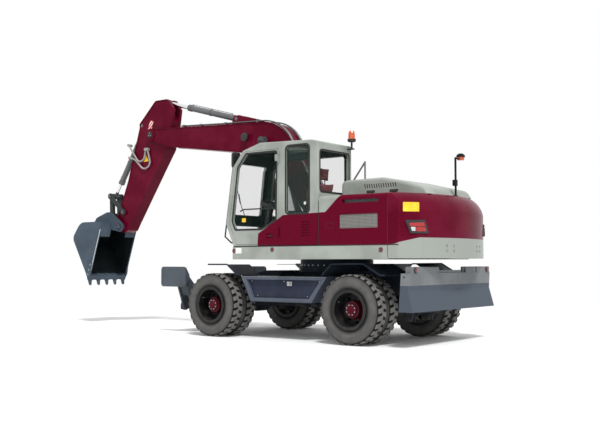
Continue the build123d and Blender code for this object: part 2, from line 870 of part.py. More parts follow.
# Cab: a hollow shell with its window and door openings
cab_outline = [
    (cab_rear_x, floor_z + seat),
    (cab_rear_x, 3000),
    (-400, 3030),
    (600, 3060),
    (950, 2960),
    (1167, 2700),
    (1303, 1800),
    (1170, 1510),
    (1140, floor_z + seat),
]
cab_inside = [
    (cab_rear_x + cab_wall, floor_z + 45),
    (cab_rear_x + cab_wall, 2960),
    (-390, 2980),
    (590, 3008),
    (915, 2920),
    (1117, 2690),
    (1250, 1810),
    (1122, 1530),
    (1100, floor_z + 45),
]
door_outline = [
    (door_rear_x, 1475),
    (door_rear_x, 2935),
    (880, 2935),
    (1085, 2690),
    (1215, 1810),
    (1085, 1530),
    (1070, 1475),
]
window_right = [(-420, 1950), (1080, 1950), (1010, 2690), (850, 2860), (-420, 2860)]
window_quarter = [(-362, 1935), (71, 1935), (71, 2960), (-362, 2960)]
window_rear = [(430, 2250), (1193, 2250), (1193, 2870), (430, 2870)]
window_front = [(440, 1960), (1190, 1960), (1150, 2760), (480, 2760)]
window_low = [(450, 1600), (1180, 1600), (1180, 1780), (450, 1780)]
window_roof = [(150, 500), (600, 500), (600, 1100), (150, 1100)]
with BuildPart() as cab_shell:
    slab(cab_outline, cab_inner_y, body_half, 30)
    cab_middle_y = (cab_inner_y + body_half) / 2
    cab_half = (body_half - cab_inner_y) / 2
    rims = cab_shell.edges().filter_by(lambda e: abs(abs(e.center().Y - cab_middle_y) - cab_half) < 1)
    fillet(rims.filter_by(lambda e: e.center().Z > floor_z + 5), 25)
    slab(cab_inside, cab_inner_y + cab_wall, body_half - cab_wall, mode=Mode.SUBTRACT)
    # Door opening, left
    with BuildSketch(side(body_half + 1)) as opening:
        with BuildLine():
            Polyline(*door_outline, close=True)
        make_face()
        offset(amount=door_gap, kind=Kind.INTERSECTION)
    extrude(opening.sketch, amount=cab_wall + 2, mode=Mode.SUBTRACT)
    slab(window_quarter, body_half - 60, body_half + 1, 60, mode=Mode.SUBTRACT)
    slab(window_right, cab_inner_y - 1, cab_inner_y + 60, 60, mode=Mode.SUBTRACT)
    rib(window_rear, cab_rear_x - 5, cab_rear_x + 60, 50, mode=Mode.SUBTRACT)
    rib(window_front, 950, 1400, 50, mode=Mode.SUBTRACT)
    rib(window_low, 1100, 1400, 40, mode=Mode.SUBTRACT)
    deck(window_roof, 2990, 3100, 50, mode=Mode.SUBTRACT)
    # Louvres low on the left side
    for index in range(6):
        z = 1585 + 40 * index
        block(-370, -227, body_half - 12, body_half + 1, z, z + 17, mode=Mode.SUBTRACT)
    # Hinge leaves and pins for the door
    for z in hinge_heights:
        for z_low in (z - 27, z + hinge_length + 2):
            block(190, door_rear_x - 2, body_half - 1, door_hinge_y + 6, z_low, z_low + 25)
        bar(
            at(door_hinge_x, door_hinge_y, z - 20),
            at(door_hinge_x, door_hinge_y, z + hinge_length + 20),
            hinge_pin_radius,
        )
keep(cab_shell, "cab_shell")

# Cab glass, set inside its openings. The front panes follow the bends of the cab's nose
front_band = inset(cab_outline, pane_setback)[4:] + inset(cab_outline, pane_setback + glass)[:3:-1]
with BuildPart() as windscreen:
    slab(front_band, cab_inner_y + cab_wall, body_half - cab_wall)
    rib(inset(window_front, seat), 950, 1400, 50, mode=Mode.INTERSECT)
with BuildPart() as low_pane:
    slab(front_band, cab_inner_y + cab_wall, body_half - cab_wall)
    rib(inset(window_low, seat), 1100, 1400, 40, mode=Mode.INTERSECT)
with BuildPart() as cab_glass:
    slab(inset(window_quarter, seat), body_half - pane_setback - glass, body_half - pane_setback, 60)
    slab(inset(window_right, seat), cab_inner_y + 20, cab_inner_y + 20 + glass, 60)
    rib(inset(window_rear, seat), cab_rear_x + 20, cab_rear_x + 20 + glass, 50)
    deck(inset(window_roof, seat), 3018, 3018 + glass, 50)
    add(windscreen.part)
    add(low_pane.part)
keep(cab_glass, "cab_glass")

# Door with its window opening and the leaves of its hinges
door_window = [(258, 2896), (870, 2896), (1040, 2690), (1150, 1850), (1090, 1713), (552, 1713), (272, 1849)]
with BuildPart() as cab_door:
    slab(door_outline, body_half - cab_wall, body_half)
    slab(door_window, body_half - cab_wall - 1, body_half + 1, 30, mode=Mode.SUBTRACT)
    # Recess of the handle
    handle = [(330, 1560), (450, 1560), (450, 1640), (330, 1640)]
    slab(handle, body_half - 14, body_half + 1, 12, mode=Mode.SUBTRACT)
    for z in hinge_heights:
        bar(
            at(door_hinge_x, door_hinge_y, z),
            at(door_hinge_x, door_hinge_y, z + hinge_length),
            11,
            bore=hinge_pin_radius + fit,
        )
        block(door_rear_x - 2, door_rear_x + 60, body_half - 1, body_half + 9, z, z + hinge_length)
keep(cab_door, "cab_door")

with BuildPart() as door_glass:
    slab(inset(door_window, seat), body_half - pane_setback - glass, body_half - pane_setback, 30)
keep(door_glass, "door_glass")

# Seat on its base
with BuildPart() as seat_unit:
    block(-180, 250, 620, 980, floor_z + 45 + seat, floor_z + 330)
    slab([(-250, 1770), (300, 1770), (320, 1880), (-200, 1900)], 560, 1040, 20)
    slab([(-250, 1800), (-130, 1850), (-230, 2420), (-330, 2420)], 560, 1040, 20)
    slab([(-330, 2440), (-250, 2440), (-270, 2640), (-350, 2640)], 680, 920, 20)
    bar(at(-290, 740, 2400), at(-290, 740, 2460), 8)
    bar(at(-290, 860, 2400), at(-290, 860, 2460), 8)
keep(seat_unit, "seat")

# Consoles and the steering column with its wheel
with BuildPart() as controls:
    block(-100, 350, 1050, 1150, floor_z + 45 + seat, 1980)
    block(-100, 350, 440, 540, floor_z + 45 + seat, 1980)
    block(830, 950, 740, 860, floor_z + 45 + seat, floor_z + 90)
    bar(at(895, 800, floor_z + 80), at(720, 800, 2080), 45)
    bar(at(722, 800, 2075), at(700, 800, 2140), 185, bore=165)
    bar(at(722, 800, 2075), at(712, 800, 2105), 60)
    block(700, 724, 625, 975, 2085, 2100)
keep(controls, "controls")

# Handrail on the right, and on the tail a post with a lamp head
rail = 16
rail_y = -950
post_x = -2115
post_y = -60
with BuildPart() as rails:
    for x, top in ((300, 2620), (67, 2926)):
        bar(at(x, rail_y, 2150 + seat), at(x, rail_y, top), rail)
    bar(at(310, rail_y, 2605), at(60, rail_y, 2926), rail)
    bar(at(67, rail_y, 2400), at(300, rail_y, 2400), rail)
    bar(at(post_x, post_y, body_top + seat), at(post_x, post_y, 2760), rail)
    bar(at(post_x, post_y, body_top + seat), at(post_x, post_y, body_top + 12), 34)
    block(post_x - 30, post_x + 30, post_y - 8, post_y + 45, 2330, 2420)
    bar(at(post_x, post_y, 2745), at(post_x, post_y - 140, 2745), 12)
    turned([(0, 2730), (50, 2730), (56, 2775), (66, 2775), (66, 2800), (40, 2828), (0, 2836)], post_x, post_y - 170)
keep(rails, "rails")

# Beacon with its dome, on a bracket at the rear corner of the roof
beacon_x = cab_rear_x - 70
beacon_y = 455
with BuildPart() as beacon:
    block(beacon_x - 35, cab_rear_x - seat, beacon_y - 25, beacon_y + 25, 2940, 2955)
    bar(at(beacon_x, beacon_y, 2950), at(beacon_x, beacon_y, 3070), 14)
    profile = [(0, 3060), (50, 3060), (64, 3075), (64, 3105), (54, 3112), (50, 3200), (38, 3228), (0, 3240)]
    turned(profile, beacon_x, beacon_y)
keep(beacon, "beacon")

# Mirror, rail and work lamps at the front of the cab
mirror_x = 1215
mirror_y = 1150
with BuildPart() as mirrors:
    with BuildSketch(cross(mirror_x - 22)) as mirror_head:
        with Locations((mirror_y - 45, 2835)):
            RectangleRounded(190, 260, 45)
    extrude(mirror_head.sketch, amount=44)
    fillet(mirrors.edges().group_by(Axis.X)[-1], 18)
    for start, end in (
        ((mirror_x, 2760), (mirror_x + 20, 2700)),
        ((1050, 2700), (mirror_x + 20, 2700)),
        ((mirror_x + 20, 2705), (1400, 1600)),
        ((1403, 1610), (1262, 1505)),
        ((1270, 1510), (1120, 1478)),
    ):
        bar(at(start[0], mirror_y, start[1]), at(end[0], mirror_y, end[1]), 12)
    for y in (580, 1010):
        bar(at(760, y, 2990), at(760, y, 3070), 14)
        shaped([(700, 3062, 18), (790, 3062, 18), (800, 3140, 22), (700, 3130, 18)], y - 60, y + 60)
    slab(inset(cab_outline, -seat), cab_inner_y, body_half, 30, mode=Mode.SUBTRACT)
keep(mirrors, "mirrors")

# Tail lamps, set on the slanted corners of the counterweight
with BuildPart() as tail_lamps:
    for edge in (-1, 1):
        facet = Vector(corner_x + corner_cut, edge * body_half) - Vector(corner_x, edge * 1000)
        outward = Vector(-abs(facet.Y), edge * abs(facet.X)).normalized()
        middle = at(corner_x + corner_cut / 2, edge * (1000 + body_half) / 2, 1715) + outward * seat
        with BuildSketch(Plane(origin=middle, x_dir=facet.normalized(), z_dir=outward)) as lens:
            Rectangle(180, 150)
        extrude(lens.sketch, amount=16)
keep(tail_lamps, "tail_lamps")

# Boom: a box girder with a bend, a fork at its tip and lugs for the cylinders.
# Its corners are listed with their radii
pin_x, pin_z = stick_pin
boom_corners = [
    (30, 1830, 20),
    (1035, 3588, 700),
    (2437, 3645, 0),
    (pin_x - 60, pin_z + 110, 30),
    (pin_x + 20, pin_z + 125, 40),
    (pin_x + 125, pin_z + 20, 50),
    (pin_x + 110, pin_z - 60, 40),
    (3739, 3357, 300),
    (1271, 3022, 600),
    (270, 1680, 20),
]
with BuildPart() as boom:
    shaped(boom_corners, -boom_web_half, boom_web_half)
    shaped(boom_corners, -boom_half, boom_half, wall=plate)
    pin(boom_pin, -boom_half, boom_half, 125)
    pin(boom_pin, -boom_half - 60, boom_half + 60, 42)
    # Bosses where the lifting cylinders act
    pin(boom_ram_eye, -boom_half - 20, boom_half + 20, 80)
    # Slot of the fork for the stick
    slab(
        [(3440, 3000), (3440, 4000), (4500, 4000), (4500, 3000)],
        -fork_inner,
        fork_inner,
        mode=Mode.SUBTRACT,
    )
    for edge in (-1, 1):
        low, high = sorted((edge * fork_inner, edge * boom_half))
        pin(stick_pin, low, high, 120)
        pin(stick_pin, low - 1, high + 1, 42 + fit, mode=Mode.SUBTRACT)
        # Lugs for the stick cylinder's foot
        low, high = sorted((edge * 68, edge * 98))
        slab(
            [
                (1500, 3585),
                (1650, 3690),
                (stick_ram_foot[0] - 60, stick_ram_foot[1] + 60),
                (stick_ram_foot[0] + 50, stick_ram_foot[1] + 50),
                (stick_ram_foot[0] + 120, 3615),
            ],
            low,
            high,
        )
        pin(stick_ram_foot, low - 1, high + 1, 32 + fit, mode=Mode.SUBTRACT)
keep(boom, "boom")

# Steel pipes along the back of the boom, in clamps, and the round lamp on its side
pipe_radius = 12
pipe_lift = 24
pipe_bend = 700 + pipe_lift
boom_lamp = (1780, 3363)


def boom_top_z(x):
    """The height of the boom's top plate over its long run."""
    near, far = (1445, 3605), (2437, 3645)
    if x > far[0]:
        near, far = far, (stick_pin[0] - 60, stick_pin[1] + 110)
    return near[1] + (far[1] - near[1]) * (x - near[0]) / (far[0] - near[0])


pipe_route = [
    (3400, boom_top_z(3400) + pipe_lift, 0),
    (2437, 3645 + pipe_lift, 0),
    (1020.8, 3611.4, pipe_bend),
    (232.6, 2232.6, 0),
]
with BuildPart() as boom_pipes:
    for y in (-150, -122, 122, 150):
        bent_tube(pipe_route, y, pipe_radius)
    for x in (1560, 2300, 2900, 3330):
        for edge in (-1, 1):
            low, high = sorted((edge * 104, edge * 168))
            slab(
                [
                    (x - 22, boom_top_z(x - 22) + seat),
                    (x + 22, boom_top_z(x + 22) + seat),
                    (x + 22, boom_top_z(x + 22) + 42),
                    (x - 22, boom_top_z(x - 22) + 42),
                ],
                low,
                high,
            )
    # Clamps on the steep run, square to the boom's back
    back = Vector(1035 - 30, 3588 - 1830).normalized()
    for distance in (520, 1050, 1540):
        foot_x, foot_z = 30 + back.X * distance, 1830 + back.Y * distance
        for edge in (-1, 1):
            low, high = sorted((edge * 104, edge * 168))
            slab(
                [
                    (foot_x - back.Y * seat - back.X * 22, foot_z + back.X * seat - back.Y * 22),
                    (foot_x - back.Y * seat + back.X * 22, foot_z + back.X * seat + back.Y * 22),
                    (foot_x - back.Y * 42 + back.X * 22, foot_z + back.X * 42 + back.Y * 22),
                    (foot_x - back.Y * 42 - back.X * 22, foot_z + back.X * 42 - back.Y * 22),
                ],
                low,
                high,
            )
    pin(boom_lamp, boom_web_half + seat, boom_web_half + 50, 30)
    pin(boom_lamp, boom_web_half + 45, boom_web_half + 85, 66)
keep(boom_pipes, "boom_pipes")

# Stick: a tapering box girder
stick_corners = [
    (4128, 4273, 60),
    (3798, 4273, 60),
    (3647, 4074, 60),
    (3696, 3762, 250),
    (3811, 3324, 200),
    (4054, 2979, 200),
    (4762, 1950, 60),
    (4848, 1815, 50),
    (4960, 1775, 60),
    (5090, 1790, 40),
    (5150, 1880, 40),
    (5190, 2010, 60),
    (4863, 2790, 300),
    (4553, 3800, 20),
    (4565, 3860, 20),
    (4520, 3905, 20),
]
with BuildPart() as stick:
    shaped(stick_corners, 10 - stick_half, stick_half - 10)
    shaped(stick_corners, -stick_half, stick_half, wall=plate)
    pin(stick_pin, -stick_half, stick_half, 110)
    pin(stick_pin, -boom_half - 6, boom_half + 6, 42)
    pin(bucket_pin, -stick_half, stick_half, 100)
    pin(bucket_pin, -stick_half - 1, stick_half + 1, 38 + fit, mode=Mode.SUBTRACT)
    pin(rocker_pin, -stick_half, stick_half, 75)
    pin(rocker_pin, -stick_half - 1, stick_half + 1, 34 + fit, mode=Mode.SUBTRACT)
    # Slot for the stick cylinder's eye
    slab(
        [(3560, 3860), (3700, 3860), (3800, 4010), (3990, 4010), (3990, 4400), (3560, 4400)],
        -58,
        58,
        mode=Mode.SUBTRACT,
    )
    # Slot for the bucket cylinder's foot, open to the front
    slab(
        [(4400, 3960), (4400, 3760), (4730, 3050), (5000, 3050), (5000, 3960)],
        -70,
        70,
        mode=Mode.SUBTRACT,
    )
    pin(bucket_ram_foot, -stick_half - 1, stick_half + 1, 30 + fit, mode=Mode.SUBTRACT)
keep(stick, "stick")

# Hoses on the stick's left side, from a clamp to the fittings beside the bucket cylinder
hose_radius = 17
hose_y = 150
hoses = [
    [(4352, 3345, 0), (4395, 3165, 100), (4540, 3110, 130), (4834, 3471, 0)],
    [(4302, 3345, 0), (4215, 3050, 105), (4400, 2960, 150), (4660, 3190, 250), (4805, 3224, 0)],
]
with BuildPart() as stick_hoses:
    shaped(
        [(4275, 3328, 12), (4378, 3328, 12), (4378, 3380, 12), (4275, 3380, 12)],
        stick_half - 10 + seat,
        hose_y + 24,
    )
    for hose in hoses:
        bent_tube(hose, hose_y, hose_radius)
        pin(hose[-1], 68, hose_y + 20, 26)
keep(stick_hoses, "stick_hoses")

# Rocker arms either side of the stick, joined by the pins
with BuildPart() as rocker:
    for edge in (-1, 1):
        low, high = sorted((edge * (stick_half + free), edge * (stick_half + free + 26)))
        slab(
            [
                polar(rocker_pin, 42, 130),
                polar(rocker_eye, 42, 130),
                polar(rocker_eye, 42, -50),
                polar(rocker_pin, 42, -50),
            ],
            low,
            high,
        )
        pin(rocker_pin, low, high, 58)
        pin(rocker_eye, low, high, 58)
    pin(rocker_pin, -stick_half - free - 30, stick_half + free + 30, 34)
    for edge in (-1, 1):
        low, high = sorted((edge * 56, edge * (stick_half + free + 30)))
        pin(rocker_eye, low, high, 32)
keep(rocker, "rocker")

# Link between the rocker and the bucket
with BuildPart() as link:
    for edge in (-1, 1):
        low, high = sorted((edge * 62, edge * 122))
        slab(
            [
                polar(rocker_eye, 45, 180),
                polar(rocker_eye, 45, 0),
                polar(link_eye, 45, 0),
                polar(link_eye, 45, 180),
            ],
            low,
            high,
        )
        pin(rocker_eye, low, high, 55)
    pin(link_eye, -122, 122, 60)
    pin(link_eye, -ear_inner + 5, ear_inner - 5, 34)
    pin(rocker_eye, -123, 123, 32 + fit, mode=Mode.SUBTRACT)
keep(link, "link")

# Bucket: side plates, wrapper, ears and teeth
bucket_corners = [
    (5262, 1830, 0),
    (5300, 1985, 0),
    (5870, 1985, 250),
    (6105, 1680, 130),
    (5640, 900, 0),
    (5560, 930, 0),
]
hollow_corners = [
    (5240, 1880, 0),
    (5315, 1970, 0),
    (5862, 1970, 235),
    (6088, 1677, 115),
    (5640, 930, 0),
    (5500, 850, 0),
    (5200, 1800, 0),
]
# One tooth in the middle plane: an adapter over the cutting edge and a point with rounded sides
with BuildPart() as tooth:
    slab([(5592, 870), (5640, 850), (5612, 750), (5606, 745), (5596, 745), (5588, 752)], -30, 30)
    rib(
        [(-30, 880), (30, 880), (26, 775), (14, 744), (-14, 744), (-26, 775)],
        5560,
        5680,
        10,
        mode=Mode.INTERSECT,
    )
    shaped(
        [(5580, 962, 8), (5662, 985, 8), (5654, 880, 12), (5628, 835, 12), (5586, 838, 12), (5570, 880, 12)],
        -40,
        40,
    )
with BuildPart() as bucket:
    shaped(bucket_corners, -bucket_half, bucket_half)
    shaped(hollow_corners, 16 - bucket_half, bucket_half - 16, mode=Mode.SUBTRACT)
    # Cutting edge
    slab([(5560, 930), (5650, 970), (5680, 950), (5610, 850), (5585, 850)], -bucket_half, bucket_half)
    # Ears with the two pins' bosses
    for edge in (-1, 1):
        low, high = sorted((edge * ear_inner, edge * (ear_inner + ear_plate)))
        slab(
            [
                (5262, 1835),
                (5030, 1790),
                (4940, 1850),
                (4940, 1930),
                (5000, 1985),
                (5290, 2180),
                (5400, 2180),
                (5700, 2080),
                (5780, 1984),
                (5300, 1980),
            ],
            low,
            high,
        )
        pin(bucket_pin, low, high, 95)
        inner_low, inner_high = sorted((edge * (stick_half + 3), edge * (ear_inner + ear_plate)))
        pin(bucket_pin, inner_low, inner_high, 70)
    pin(bucket_pin, -ear_inner - ear_plate - 12, ear_inner + ear_plate + 12, 38)
    # Teeth
    for index in range(tooth_count):
        y = (index - (tooth_count - 1) / 2) * (2 * bucket_half - 90) / (tooth_count - 1)
        add(tooth.part.moved(Location((0, y, 0))))
    # Side cutters
    for edge in (-1, 1):
        low, high = sorted((edge * bucket_half, edge * (bucket_half + 14)))
        shaped(
            [(5500, 1180, 10), (5570, 1200, 12), (5650, 930, 12), (5590, 880, 10), (5540, 960, 40)],
            low - 1,
            high,
        )
keep(bucket, "bucket")

# Cylinders of the arm
with BuildPart() as boom_barrels:
    for edge in (-1, 1):
        ram_body(boom_ram_foot, boom_ram_eye, edge * boom_ram_y, 55, 1320, 36, 60, 116, 32, 80, (120,))
keep(boom_barrels, "boom_barrels")
with BuildPart() as boom_rods:
    for edge in (-1, 1):
        ram_rod(boom_ram_foot, boom_ram_eye, edge * boom_ram_y, 36, 1180, 62, 100)
keep(boom_rods, "boom_rods")
with BuildPart() as stick_barrel:
    ram_body(stick_ram_foot, stick_ram_eye, 0, 55, 1365, 38, 60, 120, 32, 98, (120, 700))
keep(stick_barrel, "stick_barrel")
with BuildPart() as stick_rod:
    ram_rod(stick_ram_foot, stick_ram_eye, 0, 38, 1262, 60, 100)
keep(stick_rod, "stick_rod")
with BuildPart() as bucket_barrel:
    ram_body(bucket_ram_foot, rocker_eye, 0, 55, 1365, 32, 55, 100, 30, 120, (120, 440, 800))
keep(bucket_barrel, "bucket_barrel")
with BuildPart() as bucket_rod:
    ram_rod(bucket_ram_foot, rocker_eye, 0, 32, 1030, 55, 100)
keep(bucket_rod, "bucket_rod")

# Outrigger legs, pads and their cylinders
for edge, name in ((1, "left"), (-1, "right")):
    with BuildPart() as leg:
        for low, high in ((beam_x + 66, beam_x + 96), (beam_end - 96, beam_end - 66)):
            rib(
                [
                    (edge * (leg_pin_y - 45), leg_pin_z - 20),
                    (edge * (ram_leg_y - 50), ram_leg_z),
                    (edge * (ram_leg_y - 20), ram_leg_z + 50),
                    (edge * (pad_pin_y - 50), pad_pin_z + 20),
                    (edge * (pad_pin_y + 10), pad_pin_z + 40),
                    (edge * (pad_pin_y + 45), pad_pin_z - 10),
                    (edge * (leg_pin_y + 60), leg_pin_z - 20),
                    (edge * leg_pin_y, leg_pin_z - 50),
                ],
                low,
                high,
            )
        rib(
            [
                (edge * (leg_pin_y + 20), leg_pin_z + 240),
                (edge * (pad_pin_y - 50), pad_pin_z - 40),
                (edge * (pad_pin_y + 20), pad_pin_z - 60),
                (edge * (leg_pin_y + 90), leg_pin_z + 200),
            ],
            beam_x + 90,
            beam_end - 90,
        )
        for low, high in ((beam_x + 10, beam_x + 96), (beam_end - 96, beam_end - 10)):
            bar(at(low, edge * leg_pin_y, leg_pin_z), at(high, edge * leg_pin_y, leg_pin_z), 30)
        bar(
            at(beam_x + 65, edge * pad_pin_y, pad_pin_z),
            at(beam_end - 65, edge * pad_pin_y, pad_pin_z),
            26 + fit,
            mode=Mode.SUBTRACT,
        )
    keep(leg, "outrigger_leg_" + name)
    with BuildPart() as pad:
        low, high = sorted((edge * (pad_pin_y + 55), edge * (pad_pin_y + 75)))
        slab(
            [
                (beam_x + 20, pad_pin_z - 170),
                (beam_x + 600, pad_pin_z - 170),
                (beam_x + 600, pad_pin_z + 170),
                (beam_x + 20, pad_pin_z + 170),
            ],
            low,
            high,
            55,
        )
        for x_low in (beam_x + 24, beam_end - 54):
            rib(
                [
                    (edge * (pad_pin_y + 56), pad_pin_z - 160),
                    (edge * (pad_pin_y - 30), pad_pin_z - 30),
                    (edge * (pad_pin_y - 30), pad_pin_z + 30),
                    (edge * (pad_pin_y + 56), pad_pin_z + 160),
                ],
                x_low,
                x_low + 30,
            )
        bar(
            at(beam_x + 24, edge * pad_pin_y, pad_pin_z),
            at(beam_end - 24, edge * pad_pin_y, pad_pin_z),
            26,
        )
    keep(pad, "outrigger_pad_" + name)
    foot = at(beam_mid, edge * ram_lug_y, ram_lug_z)
    eye = at(beam_mid, edge * ram_leg_y, ram_leg_z)
    line = (eye - foot).normalized()
    rest_length = (eye - foot).length
    with BuildPart() as ram_barrel:
        bar(foot + line * 20, foot + line * (rest_length - 55), 42)
        bar(foot - Vector(48, 0, 0), foot + Vector(48, 0, 0), 38)
        bar(foot - Vector(80, 0, 0), foot + Vector(80, 0, 0), 22)
        bar(foot + line * 55, foot + line * (rest_length - 54), 24 + fit, mode=Mode.SUBTRACT)
    keep(ram_barrel, "outrigger_barrel_" + name)
    with BuildPart() as ram_rod_part:
        bar(foot + line * 60, eye, 24)
        bar(eye - Vector(45, 0, 0), eye + Vector(45, 0, 0), 38)
    keep(ram_rod_part, "outrigger_rod_" + name)

# Blade with its end cheeks, back ribs and lamp boxes
blade_pin_low = (blade_pin_x - blade_reach, blade_pin_z + blade_rise)
blade_pin_high = (blade_pin_x - blade_reach, blade_pin_z + blade_rise + blade_pin_gap)
skin = [
    (-2075, blade_top),
    (-2055, blade_top),
    (-2040, 800),
    (-2120, blade_bottom),
    (-2145, blade_bottom),
    (-2062, 800),
]
with BuildPart() as blade:
    slab(skin, -half_width, half_width)
    for edge in (-1, 1):
        low, high = sorted((edge * (half_width - 16), edge * half_width))
        slab(
            [
                (-2070, blade_top),
                (-1955, blade_top),
                (-1915, blade_bottom),
                (-2140, blade_bottom),
                (-2050, 800),
            ],
            low,
            high,
        )
        pin((-2005, 985), low - 1, high + 1, 16, mode=Mode.SUBTRACT)
    slab([(-2062, 950), (-2000, 950), (-2000, 990), (-2060, 990)], -half_width + 10, half_width - 10)
    slab([(-2100, 560), (-2016, 560), (-2016, 600), (-2085, 600)], -half_width + 10, half_width - 10)
    for edge in (-1, 1):
        for y in (edge * 265 - 70, edge * 265 + 40):
            slab(
                [
                    (-2050, 980),
                    (-1990, 980),
                    (blade_pin_high[0] + 45, blade_pin_high[1] + 40),
                    (blade_pin_low[0] + 45, blade_pin_low[1] - 40),
                    (-1990, 560),
                    (-2090, 560),
                ],
                y,
                y + 30,
            )
        for centre in (blade_pin_low, blade_pin_high):
            pin(centre, edge * 265 - 71, edge * 265 + 71, 28 + fit, mode=Mode.SUBTRACT)
        for y in (edge * blade_ram_y - 73, edge * blade_ram_y + 48):
            slab([(-2050, 830), (-1950, 780), (-1925, 700), (-1960, 660), (-2080, 660)], y, y + 25)
    # Lamp boxes, the low rail between them and a post along the top
    for y_low, y_high in ((395, 1200), (-780, -450), (-1265, -820)):
        shaped(
            [
                (-2072, blade_top - 2, 0),
                (-2072, blade_top + 90, 14),
                (-1985, blade_top + 90, 14),
                (-1985, blade_top - 2, 0),
            ],
            y_low,
            y_high,
        )
    block(-2060, -2040, -320, 396, blade_top - 2, blade_top + 40)
    bar(at(-2050, -390, blade_top - 20), at(-2050, -390, blade_top + 90), 12)
keep(blade, "blade")

with BuildPart() as blade_arms_lower:
    for edge in (-1, 1):
        y = edge * 265
        start = at(blade_pin_x, y, blade_pin_z)
        end = at(blade_pin_low[0], y, blade_pin_low[1])
        bar(start, end, 30)
        pin((blade_pin_x, blade_pin_z), y - 34, y + 34, 45)
        pin((blade_pin_x, blade_pin_z), y - 64, y + 64, 30)
        pin(blade_pin_low, y - 36, y + 36, 42)
        pin(blade_pin_low, y - 68, y + 68, 28)
    middle = toward((blade_pin_x, blade_pin_z), blade_pin_low, 230)
    pin(middle, -265, 265, 28)
keep(blade_arms_lower, "blade_arms_lower")

upper_start = (blade_pin_x, blade_pin_z + blade_pin_gap)
with BuildPart() as blade_arms_upper:
    for edge in (-1, 1):
        y = edge * 265
        bar(at(upper_start[0], y, upper_start[1]), at(blade_pin_high[0], y, blade_pin_high[1]), 28)
        pin(upper_start, y - 34, y + 34, 45)
        pin(upper_start, y - 64, y + 64, 30)
        pin(blade_pin_high, y - 34, y + 34, 42)
keep(blade_arms_upper, "blade_arms_upper")

blade_ram_foot = (blade_ram_x, blade_ram_z)
blade_ram_eye = (blade_pin_low[0], 720)
with BuildPart() as blade_barrels:
    for edge in (-1, 1):
        ram_body(blade_ram_foot, blade_ram_eye, edge * blade_ram_y, 42, 640, 24, 40, 88, 25, 78)
keep(blade_barrels, "blade_barrels")
with BuildPart() as blade_rods:
    for edge in (-1, 1):
        ram_rod(blade_ram_foot, blade_ram_eye, edge * blade_ram_y, 24, 520, 36, 80)
keep(blade_rods, "blade_rods")

os.makedirs("parts", exist_ok=True)
for finished in parts:
    export_step(finished, "parts/" + finished.label + ".step")
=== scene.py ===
"""Looks of a wheeled excavator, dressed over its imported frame, in metres."""

import logging
import math
from dataclasses import dataclass, field
from enum import Enum
from typing import Sequence

import bpy
from mathutils import Matrix, Vector

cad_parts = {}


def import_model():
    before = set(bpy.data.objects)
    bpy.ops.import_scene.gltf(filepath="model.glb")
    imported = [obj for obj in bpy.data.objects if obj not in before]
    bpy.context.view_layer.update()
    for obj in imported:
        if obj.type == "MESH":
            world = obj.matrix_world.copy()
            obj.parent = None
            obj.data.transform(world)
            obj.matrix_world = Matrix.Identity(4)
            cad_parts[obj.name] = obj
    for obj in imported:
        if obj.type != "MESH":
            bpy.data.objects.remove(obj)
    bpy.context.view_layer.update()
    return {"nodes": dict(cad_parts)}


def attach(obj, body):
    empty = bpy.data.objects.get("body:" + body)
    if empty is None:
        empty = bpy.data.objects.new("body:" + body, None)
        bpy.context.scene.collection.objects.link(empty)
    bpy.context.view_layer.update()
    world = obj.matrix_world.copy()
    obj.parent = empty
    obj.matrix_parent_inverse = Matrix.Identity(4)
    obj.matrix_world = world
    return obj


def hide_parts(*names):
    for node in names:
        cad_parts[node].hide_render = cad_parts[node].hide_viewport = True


log = logging.getLogger("excavator")

SLEW_X = -1.88
SIDES = (("left", 1), ("right", -1))
Point = tuple[float, float]
Outline = tuple[Point, ...]
Colour = tuple[float, float, float]


def at(x: float, y: float, z: float) -> Vector:
    """The place, in the shared frame, of a point given from the slew axis."""
    return Vector((SLEW_X + x, y, z))


def tint(colour: Colour, factor: float, lift: float = 0.0) -> Colour:
    """A colour made lighter or darker, up to white."""
    return tuple(min(1.0, part * factor + lift) for part in colour)


class Slot(Enum):
    """Material slots of the record, one named for each new piece."""

    BODY = "body"
    CHASSIS = "chassis_paint"
    SLATE = "slate"
    RIM = "rim_black"
    CHROME = "rod_chrome"
    FABRIC = "seat_fabric"
    TRIM = "trim"
    AMBER = "amber"
    RED = "red_lens"
    STEEL = "pipe_steel"


# Finishes.


